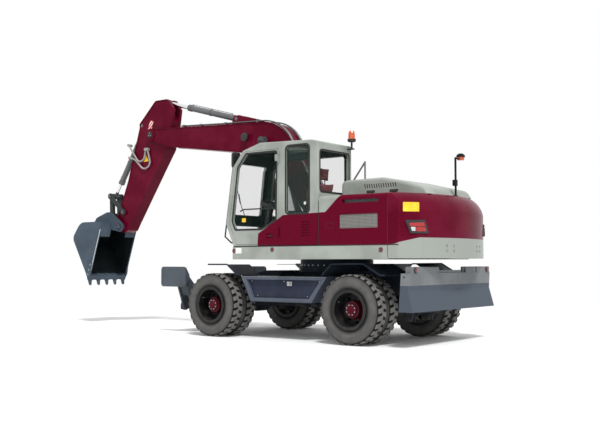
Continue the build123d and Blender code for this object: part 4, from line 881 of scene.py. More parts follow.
class Bench:
    """Hand tools. Each starts from a primitive and leaves a finished object at the origin."""

    def __init__(self, finishes: Finishes) -> None:
        """Keeps the finishes that pieces are dressed with.

        Args:
            finishes: The finishes by name.
        """
        self.finishes = finishes
        self.count = 0

    def clear(self) -> None:
        """Deselects everything."""
        bpy.ops.object.select_all(action="DESELECT")

    def settle(self, name: str) -> bpy.types.Object:
        """Names the active object and applies its place, turn and scale to its mesh.

        Args:
            name: The object's new name.

        Returns:
            The object.
        """
        piece = bpy.context.object
        bpy.ops.object.transform_apply(location=True, rotation=True, scale=True)
        piece.name = name
        piece.data.name = name
        return piece

    def apply(self, piece: bpy.types.Object, modifier: bpy.types.Modifier) -> None:
        """Applies a modifier to the active piece."""
        bpy.context.view_layer.objects.active = piece
        bpy.ops.object.modifier_apply(modifier=modifier.name)

    def soften(self, piece: bpy.types.Object, width: float, segments: int = 2) -> bpy.types.Object:
        """Rounds a piece's sharp edges.

        Args:
            piece: The piece.
            width: The width of the rounding.
            segments: Its faces.

        Returns:
            The piece.
        """
        bevel = piece.modifiers.new("edge", "BEVEL")
        bevel.limit_method = "ANGLE"
        bevel.angle_limit = math.radians(35)
        bevel.width = width
        bevel.segments = segments
        self.apply(piece, bevel)
        return piece

    def smooth(self, piece: bpy.types.Object, degrees: float = 40) -> bpy.types.Object:
        """Shades a piece smooth but for its sharp edges.

        Args:
            piece: The piece.
            degrees: The angle past which an edge stays sharp.

        Returns:
            The piece.
        """
        self.clear()
        piece.select_set(True)
        bpy.context.view_layer.objects.active = piece
        bpy.ops.object.shade_smooth_by_angle(angle=math.radians(degrees))
        return piece

    def block(self, name: str, first: Vector, last: Vector, edge: float = 0.004) -> bpy.types.Object:
        """A box with rounded edges.

        Args:
            name: The piece's name.
            first: One corner.
            last: The opposite corner.
            edge: The rounding of its edges.

        Returns:
            The piece.
        """
        self.clear()
        size = [abs(side) for side in last - first]
        bpy.ops.mesh.primitive_cube_add(size=1, location=(first + last) / 2, scale=size)
        return self.soften(self.settle(name), edge)

    def rod(
        self, name: str, start: Vector, end: Vector, radius: float, edge: float = 0.0, sides: int = 24
    ) -> bpy.types.Object:
        """A round or many-sided bar between two places.

        Args:
            name: The piece's name.
            start: One end.
            end: The other end.
            radius: Its radius.
            edge: The rounding of its end edges.
            sides: How many faces go round it.

        Returns:
            The piece.
        """
        self.clear()
        line = end - start
        bpy.ops.mesh.primitive_cylinder_add(
            vertices=sides,
            radius=radius,
            depth=line.length,
            location=(start + end) / 2,
            rotation=line.to_track_quat("Z", "Y").to_euler(),
        )
        piece = self.settle(name)
        if edge:
            self.soften(piece, edge)
        return self.smooth(piece)

    def plate(
        self,
        name: str,
        outline: Sequence[Point],
        plane: Datum,
        thickness: float,
        edge: float = 0.001,
        border: float = 0.0,
    ) -> bpy.types.Object:
        """A plate cut to an outline, or only a band along its border.

        Args:
            name: The piece's name.
            outline: Its corners on the plane.
            plane: The plane that it stands on.
            thickness: How far it rises off the plane.
            edge: The rounding of its edges.
            border: The band's width, or 0 for a whole plate.

        Returns:
            The piece.
        """
        self.clear()
        bpy.ops.mesh.primitive_circle_add(vertices=len(outline), radius=1, fill_type="NGON")
        piece = self.settle(name)
        for vertex, (u, v) in zip(piece.data.vertices, outline):
            vertex.co = plane.place(u, v)
        bpy.ops.object.mode_set(mode="EDIT")
        bpy.ops.mesh.select_all(action="SELECT")
        if border:
            bpy.ops.mesh.inset(thickness=border, use_even_offset=True)
            bpy.ops.mesh.delete(type="FACE")
            bpy.ops.mesh.select_all(action="SELECT")
        bpy.ops.mesh.extrude_region_move(TRANSFORM_OT_translate={"value": plane.out * thickness})
        bpy.ops.mesh.select_all(action="SELECT")
        bpy.ops.mesh.normals_make_consistent(inside=False)
        bpy.ops.object.mode_set(mode="OBJECT")
        if edge:
            self.soften(piece, edge, 1)
        return self.smooth(piece)

    def turned(
        self, name: str, profile: Sequence[Point], origin: Vector, axis: Vector, steps: int = 32
    ) -> bpy.types.Object:
        """A turned solid.

        Args:
            name: The piece's name.
            profile: Radii and distances along the axis; it starts and ends at radius 0.
            origin: Where the axis starts.
            axis: The axis's direction.
            steps: Faces round it.

        Returns:
            The piece.
        """
        self.clear()
        axis = axis.normalized()
        out = axis.orthogonal().normalized()
        bpy.ops.mesh.primitive_circle_add(vertices=max(3, len(profile)), radius=1, fill_type="NOTHING")
        piece = self.settle(name)
        for vertex, (radius, along) in zip(piece.data.vertices, profile):
            vertex.co = origin + out * radius + axis * along
        closing = {len(profile) - 1, 0}
        bpy.context.tool_settings.mesh_select_mode = (False, True, False)
        for corner in piece.data.vertices:
            corner.select = False
        for link in piece.data.edges:
            link.select = set(link.vertices) == closing
        bpy.ops.object.mode_set(mode="EDIT")
        bpy.ops.mesh.delete(type="EDGE")
        bpy.context.tool_settings.mesh_select_mode = (True, False, False)
        bpy.ops.mesh.select_all(action="SELECT")
        bpy.ops.mesh.spin(steps=steps, angle=2 * math.pi, center=origin, axis=axis)
        bpy.ops.mesh.select_all(action="SELECT")
        bpy.ops.mesh.remove_doubles(threshold=0.00002)
        bpy.ops.mesh.normals_make_consistent(inside=False)
        bpy.ops.object.mode_set(mode="OBJECT")
        return self.smooth(piece)

    def ring(self, name: str, centre: Vector, axis: Vector, radius: float, wire: float) -> bpy.types.Object:
        """A round wire ring.

        Args:
            name: The piece's name.
            centre: Its centre.
            axis: The direction it faces.
            radius: To the wire's middle.
            wire: The wire's radius.

        Returns:
            The piece.
        """
        self.clear()
        bpy.ops.mesh.primitive_torus_add(
            location=centre,
            rotation=axis.to_track_quat("Z", "Y").to_euler(),
            major_radius=radius,
            minor_radius=wire,
            major_segments=56,
            minor_segments=10,
        )
        return self.smooth(self.settle(name))

    def pipe(self, name: str, points: Sequence[Vector], radius: float, bend: float = 0.05) -> bpy.types.Object:
        """A bent pipe through a few corners, made as a bevelled curve and turned to mesh.

        Args:
            name: The piece's name.
            points: Its corners.
            radius: Its radius.
            bend: The reach of each bend from its corner.

        Returns:
            The piece.
        """
        self.clear()
        run: list[Vector] = [points[0]]
        for before, here, after in zip(points, points[1:], points[2:]):
            a, b = (before - here), (after - here)
            reach = min(bend, a.length * 0.45, b.length * 0.45)
            first, last = here + a.normalized() * reach, here + b.normalized() * reach
            for step in range(7):
                t = step / 6
                run.append(first.lerp(here, t).lerp(here.lerp(last, t), t))
        run.append(points[-1])
        curve = bpy.data.curves.new(name, "CURVE")
        curve.dimensions = "3D"
        curve.bevel_depth = radius
        curve.bevel_resolution = 3
        curve.use_fill_caps = True
        spline = curve.splines.new("POLY")
        spline.points.add(len(run) - 1)
        for knot, place in zip(spline.points, run):
            knot.co = (*place, 1)
        piece = bpy.data.objects.new(name, curve)
        bpy.context.scene.collection.objects.link(piece)
        piece.select_set(True)
        bpy.context.view_layer.objects.active = piece
        bpy.ops.object.convert(target="MESH")
        return self.smooth(self.settle(name), 60)

    def join(self, name: str, pieces: Sequence[bpy.types.Object]) -> bpy.types.Object:
        """Joins pieces of one finish into one.

        Args:
            name: The new piece's name.
            pieces: What is joined.

        Returns:
            The piece.
        """
        self.clear()
        for piece in pieces:
            piece.select_set(True)
        bpy.context.view_layer.objects.active = pieces[0]
        if len(pieces) > 1:
            bpy.ops.object.join()
        joined = bpy.context.object
        joined.name = name
        joined.data.name = name
        return joined

    def bolts(
        self, name: str, places: Sequence[Vector], axis: Vector, radius: float, height: float
    ) -> bpy.types.Object:
        """Hexagon bolt heads with washers, modelled once and copied.

        Args:
            name: The piece's name.
            places: Where each head stands.
            axis: The direction the heads face.
            radius: Across the corners, halved.
            height: The head's height.

        Returns:
            One piece with all the heads.
        """
        turn = axis.to_track_quat("Z", "Y").to_matrix().to_4x4()
        foot, top = Vector((0, 0, 0)), Vector((0, 0, height))
        washer = self.rod(name + "_washer", foot, top * 0.25, radius * 1.3, 0, 16)
        head = self.rod(name + "_head", top * 0.2, top, radius, radius * 0.12, 6)
        first = self.join(name, [washer, head])
        copies = []
        for place in places:
            copy = first.copy()
            copy.data = first.data.copy()
            bpy.context.scene.collection.objects.link(copy)
            copy.data.transform(Matrix.Translation(place) @ turn)
            copies.append(copy)
        bpy.data.objects.remove(first)
        return self.join(name, copies)

    def side_bolts(
        self, name: str, spots: Sequence[Point], y: float, radius: float, height: float
    ) -> bpy.types.Object:
        """Bolt heads on both sides of the machine, facing out.

        Args:
            name: The piece's name.
            spots: X from the slew axis and Z of each head.
            y: How far they stand from the middle.
            radius: Across the corners, halved.
            height: The head's height.

        Returns:
            One piece with all the heads.
        """
        halves = []
        for side, edge in SIDES:
            places = [at(x, edge * y, z) for x, z in spots]
            halves.append(self.bolts(side + "_bolts", places, Vector((0, edge, 0)), radius, height))
        return self.join(name, halves)

    def dress(
        self, piece: bpy.types.Object, body: str, finish: str, slot: Slot, replaces: Sequence[str] = ()
    ) -> bpy.types.Object:
        """Gives a piece its finish and the body that it rides on.

        Args:
            piece: The piece.
            body: The CAD body's name.
            finish: The finish's key.
            slot: The record's slot. It is not used.
            replaces: CAD nodes that it stands for.

        Returns:
            The piece.
        """
        piece.data.materials.clear()
        piece.data.materials.append(self.finishes.get(finish))
        if replaces:
            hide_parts(*replaces)
        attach(piece, body)
        self.count += 1
        log.info("%s rides on %s", piece.name, body)
        return piece


# Sub-assemblies.


@dataclass
class Studio:
    """Camera, lamps, floor and background."""

    camera_at: tuple[float, float, float] = (-10.121, 11.848, 1.193)
    yaw: float = -52.80
    pitch: float = 3.117
    lens: float = 53.26
    sky: float = 0.72
    sun: float = 2.4
    fill: float = 120.0

    def build(self) -> None:
        """Makes the camera, the light and the floor."""
        self.make_camera()
        self.make_lamps()
        self.make_world()
        self.make_floor()

    def make_camera(self) -> None:
        """Places the camera at the photograph's point of view."""
        data = bpy.data.cameras.new("camera")
        data.lens = self.lens
        data.sensor_width = 36
        data.sensor_fit = "HORIZONTAL"
        data.clip_end = 400
        camera = bpy.data.objects.new("camera", data)
        bpy.context.scene.collection.objects.link(camera)
        yaw, pitch = math.radians(self.yaw), math.radians(self.pitch)
        level = math.cos(pitch)
        forward = Vector((math.cos(yaw) * level, math.sin(yaw) * level, math.sin(pitch)))
        camera.location = self.camera_at
        camera.rotation_mode = "QUATERNION"
        camera.rotation_quaternion = forward.to_track_quat("-Z", "Y")
        bpy.context.scene.camera = camera

    def make_lamps(self) -> None:
        """Adds a soft sun from high on the camera's side and a broad fill."""
        sun = bpy.data.lights.new("sun", "SUN")
        sun.energy = self.sun
        sun.angle = math.radians(9)
        lamp = bpy.data.objects.new("sun", sun)
        bpy.context.scene.collection.objects.link(lamp)
        lamp.rotation_mode = "QUATERNION"
        lamp.rotation_quaternion = Vector((0.5, -0.44, -0.95)).to_track_quat("-Z", "Y")
        soft = bpy.data.lights.new("fill", "AREA")
        soft.energy = self.fill
        soft.size = 6
        panel = bpy.data.objects.new("fill", soft)
        bpy.context.scene.collection.objects.link(panel)
        panel.location = (-9, 9, 5)
        panel.rotation_mode = "QUATERNION"
        panel.rotation_quaternion = (Vector((-1, 0, 1.5)) - panel.location).to_track_quat("-Z", "Y")

    def make_world(self) -> None:
        """Shows white to the camera, to gloss and through glass, and lights the rest evenly."""
        world = bpy.data.worlds.new("studio")
        world.use_nodes = True
        bpy.context.scene.world = world
        nodes, links = world.node_tree.nodes, world.node_tree.links
        back = nodes["Background"]
        path = nodes.new("ShaderNodeLightPath")
        first = nodes.new("ShaderNodeMath")
        first.operation = "MAXIMUM"
        links.new(path.outputs["Is Camera Ray"], first.inputs[0])
        links.new(path.outputs["Is Transmission Ray"], first.inputs[1])
        seen = nodes.new("ShaderNodeMath")
        seen.operation = "MAXIMUM"
        links.new(first.outputs[0], seen.inputs[0])
        links.new(path.outputs["Is Glossy Ray"], seen.inputs[1])
        level = nodes.new("ShaderNodeMapRange")
        level.inputs["To Min"].default_value = self.sky
        level.inputs["To Max"].default_value = 1.0
        links.new(seen.outputs[0], level.inputs["Value"])
        links.new(level.outputs["Result"], back.inputs["Strength"])
        back.inputs["Color"].default_value = (1, 1, 1, 1)
        bpy.context.scene.view_settings.view_transform = "Standard"

    def make_floor(self) -> None:
        """Lays a pale floor that keeps the shadow and fades out into the white."""
        bpy.ops.object.select_all(action="DESELECT")
        bpy.ops.mesh.primitive_circle_add(vertices=96, radius=60, fill_type="NGON", location=(0, 0, -0.001))
        floor = bpy.context.object
        floor.name = "floor"
        shade = Shade("pale floor")
        radial = shade.distance(shade.axis("X"), shade.axis("Y"))
        grain = shade.ramp(shade.noise(30, 3), 0.3, 0.7)
        shade.put(Base_Color=shade.blend(grain, (0.93, 0.93, 0.93), (0.96, 0.96, 0.96)), Roughness=0.9)
        clear = shade.nodes.new("ShaderNodeBsdfTransparent")
        mix = shade.nodes.new("ShaderNodeMixShader")
        shade.links.new(shade.ramp(radial, 5.5, 13.0), mix.inputs[0])
        shade.links.new(shade.shader.outputs[0], mix.inputs[1])
        shade.links.new(clear.outputs[0], mix.inputs[2])
        shade.links.new(mix.outputs[0], shade.nodes["Material Output"].inputs["Surface"])
        floor.data.materials.append(shade.material)


@dataclass
class Frame:
    """The carried-over solids, each with its finish."""

    finish_of: dict[str, str] = field(
        default_factory=lambda: {
            "chassis_frame": "chassis",
            "side_boxes": "box",
            "mudguards": "chassis",
            "rear_axle": "chassis",
            "front_axle": "chassis",
            "drivetrain": "chassis",
            "outrigger_beam": "chassis",
            "slew_ring": "chassis",
            "knuckle_left": "chassis",
            "knuckle_right": "chassis",
            "turntable_frame": "cab",
            "counterweight": "tail",
            "side_covers": "cover",
            "hood": "cab",
            "engine_block": "engine",
            "tank_box": "body",
            "cab_shell": "cab side",
            "cab_door": "cab side",
            "cab_glass": "glass",
            "door_glass": "glass",
            "seat": "cloth",
            "controls": "trim",
            "rails": "rail",
            "beacon": "amber",
            "mirrors": "trim",
            "tail_lamps": "red",
            "boom": "body",
            "boom_pipes": "dark pipe",
            "stick": "body",
            "stick_hoses": "hose",
            "rocker": "linkage",
            "link": "linkage",
            "bucket": "bucket",
            "boom_barrels": "ram",
            "boom_rods": "boom rod",
            "stick_barrel": "ram",
            "stick_rod": "stick rod",
            "bucket_barrel": "ram",
            "bucket_rod": "bucket rod",
            "blade": "mouldboard",
            "blade_arms_lower": "chassis",
            "blade_arms_upper": "chassis",
            "blade_barrels": "ram",
            "blade_rods": "chrome",
        }
    )

    def dress(self, nodes: dict[str, bpy.types.Object], bench: Bench) -> None:
        """Gives every carried-over solid its finish.

        Args:
            nodes: The CAD objects by name.
            bench: Holds the finishes.
        """
        for name, node in nodes.items():
            finish = self.finish_of.get(name, self.family(name))
            node.data.materials.clear()
            node.data.materials.append(bench.finishes.get(finish))
            log.info("%s is %s", name, finish)

    def family(self, name: str) -> str:
        """The finish of a solid that comes in several places.

        Args:
            name: The CAD node's name.

        Returns:
            The finish's key.
        """
        if name.startswith("tyres_"):
            return "tyre front" if "front" in name else "tyre rear"
        if name.startswith("wheel_"):
            return "rim"
        if "barrel" in name:
            return "ram"
        if "rod" in name:
            return "chrome"
        return "slate"


@dataclass
class Wheels:
    """Fittings of the four twin wheels."""

    stations: dict[str, float] = field(default_factory=lambda: {"front": 1.61, "rear": -1.08})
    height: float = 0.509
    disc_y: float = 1.03
    nut_y: float = 1.039
    nut_circle: float = 0.142
    nut_count: int = 10
    cap_y: float = 1.208
    cap_circle: float = 0.072
    cap_count: int = 8
    hub_radius: float = 0.12
    # Station across, radius and wire of each ring on a rim.
    rings: tuple[tuple[float, float, float], ...] = ((1.2675, 0.283, 0.004), (1.262, 0.255, 0.005))
    # The valve stem's corners: X and Z from the wheel's centre, and its station across.
    valve: tuple[tuple[float, float, float], ...] = ((0.2, 0.12, 1.12), (0.2, 0.12, 1.2), (0.19, 0.11, 1.235))

    def build(self, bench: Bench) -> None:
        """Makes the fittings of every wheel.

        Args:
            bench: The hand tools.
        """
        for end, x in self.stations.items():
            for side, edge in SIDES:
                self.one(bench, f"{end}_{side}", x, edge)

    def one(self, bench: Bench, place: str, x: float, edge: int) -> None:
        """Hub shell, nuts, bolts, rim rings and valve stem of one wheel.

        Args:
            bench: The hand tools.
            place: Which wheel.
            x: Its station.
            edge: 1 on the left and -1 on the right.
        """
        body = "wheels_" + place
        out = Vector((0, edge, 0))
        nuts = [at(x + a, edge * self.nut_y, self.height + b) for a, b in circle(self.nut_count, self.nut_circle)]
        bench.dress(bench.bolts("wheel_nuts_" + place, nuts, out, 0.016, 0.03), body, "hub", Slot.BODY)
        r = self.hub_radius
        shell = [(0, 0.186), (0.05, 0.186), (0.06, 0.181), (0.087, 0.178), (0.09, 0.172), (0.09, 0.153)]
        shell += [(r - 0.006, 0.152), (r + 0.002, 0.146), (r + 0.002, 0.03), (r + 0.014, 0.012)]
        shell += [(r + 0.014, 0.0095), (0, 0.0095)]
        hub = bench.turned("hub_" + place, shell, at(x, edge * self.disc_y, self.height), out)
        bench.dress(hub, body, "hub", Slot.BODY)
        caps = [at(x + a, edge * self.cap_y, self.height + b) for a, b in circle(self.cap_count, self.cap_circle, 0.5)]
        bench.dress(bench.bolts("hub_bolts_" + place, caps, out, 0.008, 0.009), body, "steel", Slot.STEEL)
        rings = [bench.ring("ring", at(x, edge * y, self.height), out, radius, wire) for y, radius, wire in self.rings]
        bench.dress(bench.join("rim_rings_" + place, rings), body, "rim", Slot.RIM)
        corners = [at(x + a, edge * y, self.height + b) for a, b, y in self.valve]
        bench.dress(bench.pipe("valve_" + place, corners, 0.005, 0.02), body, "steel", Slot.STEEL)


@dataclass
class Undercarriage:
    """Fittings of the slew ring, the side boxes, the blade and the outriggers."""

    race_bolts: int = 36
    race_circle: float = 0.582
    race_top: float = 1.14
    box_face: float = 1.11
    panel_face: float = 1.06
    box_outline: Outline = ((-0.586, 0.976), (1.085, 0.976), (0.89, 0.58), (-0.31, 0.58))
    panel_outline: Outline = ((-0.474, 0.92), (0.968, 0.92), (0.847, 0.645), (-0.246, 0.645))
    screws: Outline = ((-0.42, 0.9), (-0.2, 0.675), (0.25, 0.9), (0.78, 0.675), (0.9, 0.9))
    holes: Outline = ((-0.15, 0.79), (0.27, 0.79), (0.66, 0.79))
    blade_back: float = -2.072
    blade_lamp_z: float = 1.085
    blade_lamps: tuple[float, ...] = (1.08, -1.17)
    blade_lamp_radius: float = 0.036
    leg_pin: Point = (0.79, 0.43)
    # Where the leg's pin ends stand, and which way each faces.
    leg_faces: tuple[tuple[float, int], ...] = ((2.352, -1), (2.688, 1))

    def build(self, bench: Bench) -> None:
        """Makes every fitting.

        Args:
            bench: The hand tools.
        """
        self.side_boxes(bench)
        self.race(bench)
        self.blade(bench)
        self.outriggers(bench)

    def side_boxes(self, bench: Bench) -> None:
        """Holes as black discs of painted shade, latch, screws, a dark sheet of painted shade in the recess, and lip
        of the boxes between the wheels.

        Args:
            bench: The hand tools.
        """
        for side, edge in SIDES:
            y = edge * self.panel_face
            # The holes are black discs: painted shade inside each hole.
            holes = [
                bench.rod("hole", at(x, y - edge * 0.002, z), at(x, y + edge * 0.0015, z), 0.016, 0, 20)
                for x, z in self.holes
            ]
            bench.dress(bench.join("box_holes_" + side, holes), "chassis", "rubber seal", Slot.TRIM)
            latch = bench.block("latch_plate", at(0.09, y, 0.83), at(0.19, y + edge * 0.018, 0.9), 0.004)
            knob = bench.rod("latch_knob", at(0.14, y, 0.865), at(0.14, y + edge * 0.034, 0.865), 0.018, 0.003)
            bench.dress(bench.join("box_latch_" + side, [latch, knob]), "chassis", "steel", Slot.STEEL)
            screws = [at(x, y, z) for x, z in self.screws]
            heads = bench.bolts("box_screws_" + side, screws, Vector((0, edge, 0)), 0.009, 0.008)
            bench.dress(heads, "chassis", "steel", Slot.STEEL)
            # A dark sheet over the recessed panel: painted shade in the recess.
            plane = flank(edge, self.panel_face - 0.001)
            sheet = bench.plate("box_panel_" + side, facing(edge, self.panel_outline), plane, 0.003, 0.0005)
            bench.dress(sheet, "chassis", "panel", Slot.SLATE)
            outline = grown(facing(edge, self.box_outline), -0.002)
            lip = bench.plate("box_lip_" + side, outline, flank(edge, self.box_face), 0.004, 0.001, 0.012)
            bench.dress(lip, "chassis", "mouldboard", Slot.SLATE)

    def race(self, bench: Bench) -> None:
        """Bolt heads round the slew ring.

        Args:
            bench: The hand tools.
        """
        heads = [at(x, y, self.race_top) for x, y in circle(self.race_bolts, self.race_circle, 0.5)]
        bench.dress(bench.bolts("race_bolts", heads, Vector((0, 0, 1)), 0.013, 0.02), "chassis", "steel", Slot.STEEL)

    def blade(self, bench: Bench) -> None:
        """Round lamps on the back of the blade.

        Args:
            bench: The hand tools.
        """
        r = self.blade_lamp_radius
        bezel = [(0, 0.0), (r + 0.007, 0.0), (r + 0.007, 0.012), (r, 0.015), (0, 0.015)]
        dome = [(0, 0.014), (r - 0.002, 0.014), (r - 0.004, 0.02), (r * 0.6, 0.025), (0, 0.027)]
        for index, y in enumerate(self.blade_lamps):
            centre = at(self.blade_back, y, self.blade_lamp_z)
            rim = bench.turned(f"blade_lamp_rim_{index}", bezel, centre, Vector((-1, 0, 0)), 24)
            bench.dress(rim, "blade", "trim", Slot.TRIM)
            lens = bench.turned(f"blade_lamp_{index}", dome, centre, Vector((-1, 0, 0)), 24)
            bench.dress(lens, "blade", "reflector", Slot.RED)

    def outriggers(self, bench: Bench) -> None:
        """Pin ends of the legs.

        Args:
            bench: The hand tools.
        """
        profile = [(0, 0), (0.036, 0), (0.036, 0.006), (0.024, 0.01), (0, 0.01)]
        y, z = self.leg_pin
        for side, edge in SIDES:
            caps = [
                bench.turned("leg_cap", profile, at(x, edge * y, z), Vector((way, 0, 0)), 20)
                for x, way in self.leg_faces
            ]
            bench.dress(bench.join("leg_pins_" + side, caps), "outrigger_leg_" + side, "steel", Slot.STEEL)


@dataclass
class Superstructure:
    """Fittings of the bodywork behind and beside the cab."""

    skin: float = 1.25
    mesh_face: float = 1.2395
    facet_line: tuple[Point, Point] = ((-1.9045, 1.25), (-2.1045, 1.0))
    lamp_line: tuple[Point, Point] = ((-1.9589, 1.1821), (-2.1611, 0.8709))
    lamp_height: float = 1.69
    lamp_rise: float = 0.032
    # Outlines on a lamp's plane, with u towards the tail.
    lamp_box: Outline = ((-0.185, 0.09), (0.125, 0.095), (0.187, -0.095), (-0.105, -0.095))
    lamp_top: Outline = ((-0.135, 0.05), (0.105, 0.06), (0.122, 0.002), (-0.112, 0.002))
    lamp_white: Outline = ((-0.106, -0.006), (-0.03, -0.006), (-0.03, -0.062), (-0.085, -0.062))
    lamp_low: Outline = ((-0.02, -0.006), (0.124, -0.006), (0.142, -0.066), (-0.02, -0.066))
    reflector_spots: Outline = ((1.118, 1.375), (0.34, 1.388), (-1.617, 1.369))
    # First and last X, then first and last Z, of each strip between panels.
    strips: tuple[tuple[float, float, float, float], ...] = (
        (-1.9, 1.13, 1.434, 1.447),
        (-1.733, -1.727, 1.26, 2.1),
        (-0.545, -0.537, 1.45, 2.1),
    )
    right_strip_end: float = 1.1
    tail_radius: float = 2.329
    bolt_angles: tuple[float, ...] = (-13, -9, 9, 13)
    bolt_heights: tuple[float, ...] = (1.36, 1.43)
    hood_side: float = 0.6815
    slit_count: int = 14
    slit_start: float = -1.01
    slit_pitch: float = 0.041
    slit: Outline = ((0, 2.3), (0.02, 2.3), (0.034, 2.362), (0.014, 2.362))
    hinge_y: float = 0.691
    hinge_z: float = 2.235
    hinge_xs: tuple[float, ...] = (-1.1, -1.5)

    def facet(self, line: tuple[Point, Point], edge: int, height: float, along: float = 0.0) -> Datum:
        """An upright plane over the slanted tail corner.

        Args:
            line: Where it starts and ends in plan.
            edge: 1 on the left and -1 on the right.
            height: The plane's own height.
            along: How far its middle is moved towards the tail.

        Returns:
            The plane, with u running towards the tail on the left and away from it on the right.
        """
        (x0, y0), (x1, y1) = line
        start, end = at(x0, edge * y0, height), at(x1, edge * y1, height)
        run = (end - start).normalized()
        return Datum((start + end) / 2 + run * along, run * edge, Vector((0, 0, 1)))

    def build(self, bench: Bench) -> None:
        """Makes every fitting.

        Args:
            bench: The hand tools.
        """
        self.trim_lines(bench)
        self.reflectors(bench)
        self.grilles(bench)
        self.tail(bench)
        self.hood(bench)

    def trim_lines(self, bench: Bench) -> None:
        """Black strips between the skirt and the bodywork, and the joints between panels.

        Args:
            bench: The hand tools.
        """
        strips = []
        for _, edge in SIDES:
            for x0, x1, z0, z1 in self.strips:
                reach = x1 if edge > 0 else min(x1, self.right_strip_end)
                outline = facing(edge, oblong(x0, z0, reach, z1))
                strips.append(bench.plate("strip", outline, flank(edge, self.skin - 0.001), 0.003, 0.0))
        bench.dress(bench.join("joint_strips", strips), "upper", "rubber seal", Slot.TRIM)

    def reflectors(self, bench: Bench) -> None:
        """Round reflectors and a pale square on the skirt.

        Args:
            bench: The hand tools.
        """
        rim = [(0, 0), (0.034, 0), (0.034, 0.006), (0.029, 0.008), (0, 0.008)]
        disc = [(0, 0.007), (0.028, 0.007), (0.026, 0.011), (0, 0.013)]
        rims, discs = [], []
        for _, edge in SIDES:
            out = Vector((0, edge, 0))
            for x, z in self.reflector_spots:
                centre = at(x, edge * (self.skin - 0.001), z)
                rims.append(bench.turned("rim", rim, centre, out, 24))
                discs.append(bench.turned("disc", disc, centre, out, 24))
        bench.dress(bench.join("reflector_rims", rims), "upper", "trim", Slot.TRIM)
        bench.dress(bench.join("reflectors", discs), "upper", "reflector", Slot.RED)
        square = rounded(oblong(-1.08, 1.332, -0.96, 1.418), 0.008)
        plate = bench.plate("pale_plate", square, side_plane(self.skin - 0.001), 0.004)
        bench.dress(plate, "upper", "pale", Slot.TRIM)

    def grilles(self, bench: Bench) -> None:
        """Perforated sheets behind the slats, frames round them, dark slots, hatch lines and locks.

        Args:
            bench: The hand tools.
        """
        lock = [(0, 0), (0.024, 0), (0.024, 0.004), (0.017, 0.007), (0.015, 0.004), (0, 0.004)]
        for side, edge in SIDES:
            back, skin = flank(edge, self.skin - 0.05), flank(edge, self.skin - 0.001)
            face = flank(edge, self.mesh_face)
            # Name, outline, corner radius, plane, thickness, edge, border and finish.
            for name, outline, radius, plane, thickness, soft, border, finish in (
                ("grille_sheet_", oblong(-1.585, 1.67, -0.9, 1.9), 0, back, 0.004, 0, 0, "mesh"),
                ("slot_sheet_", oblong(-1.6, 2.035, -0.94, 2.115), 0, back, 0.004, 0, 0, "mesh"),
                ("grille_mesh_", oblong(-1.573, 1.681, -0.91, 1.889), 0, face, 0.003, 0, 0, "light mesh"),
                ("grille_frame_", oblong(-1.583, 1.671, -0.9, 1.899), 0.014, skin, 0.004, 0.001, 0.014, "body"),
                ("hatch_line_", oblong(-0.8, 1.69, -0.672, 1.775), 0.01, skin, 0.002, 0, 0.003, "rubber seal"),
            ):
                shape = facing(edge, outline)
                if radius:
                    shape = rounded(shape, radius)
                sheet = bench.plate(name + side, shape, plane, thickness, soft, border)
                bench.dress(sheet, "upper", finish, Slot.BODY if finish == "body" else Slot.TRIM)
            centre = at(-0.291 if edge > 0 else -0.62, edge * (self.skin - 0.001), 2.08)
            cover_lock = bench.turned("cover_lock_" + side, lock, centre, Vector((0, edge, 0)), 24)
            bench.dress(cover_lock, "upper", "bright", Slot.STEEL)

    def tail(self, bench: Bench) -> None:
        """Lamps, a blank plate and bolts of the tail.

        Args:
            bench: The hand tools.
        """
        boxes, reds, whites = [], [], []
        for _, edge in SIDES:
            plane = self.facet(self.lamp_line, edge, self.lamp_height)
            deep = Datum(plane.origin - plane.out * 0.03, plane.across, plane.up)
            high = Datum(plane.origin + plane.out * (self.lamp_rise - 0.0005), plane.across, plane.up)
            # The list that a part joins, its outline, corner radius, plane, thickness and edge.
            for kin, outline, radius, datum, thickness, soft in (
                (boxes, self.lamp_box, 0.02, deep, self.lamp_rise + 0.03, 0.004),
                (reds, self.lamp_top, 0.012, high, 0.008, 0.002),
                (whites, self.lamp_white, 0.008, high, 0.007, 0.002),
                (reds, self.lamp_low, 0.008, high, 0.007, 0.002),
            ):
                shape = rounded([(edge * u, v) for u, v in outline], radius)
                kin.append(bench.plate("lamp_part", shape, datum, thickness, soft))
        bench.dress(bench.join("tail_lamp_boxes", boxes), "upper", "trim", Slot.TRIM, ["tail_lamps"])
        bench.dress(bench.join("tail_lamp_red", reds), "upper", "red", Slot.RED)
        bench.dress(bench.join("tail_lamp_white", whites), "upper", "white lens", Slot.TRIM)
        sign = rounded(oblong(-0.12, -0.065, 0.12, 0.065), 0.008)
        plate = bench.plate("tail_plates", sign, self.facet(self.facet_line, 1, 1.965, 0.03), 0.003, 0.0008)
        bench.dress(plate, "upper", "yellow", Slot.TRIM)
        heads = []
        for turn in (math.radians(180 + angle) for angle in self.bolt_angles):
            x, y = self.tail_radius * math.cos(turn), self.tail_radius * math.sin(turn)
            heads += [at(x, y, z) for z in self.bolt_heights]
        bench.dress(bench.bolts("tail_bolts", heads, Vector((-1, 0, 0)), 0.012, 0.012), "upper", "steel", Slot.STEEL)

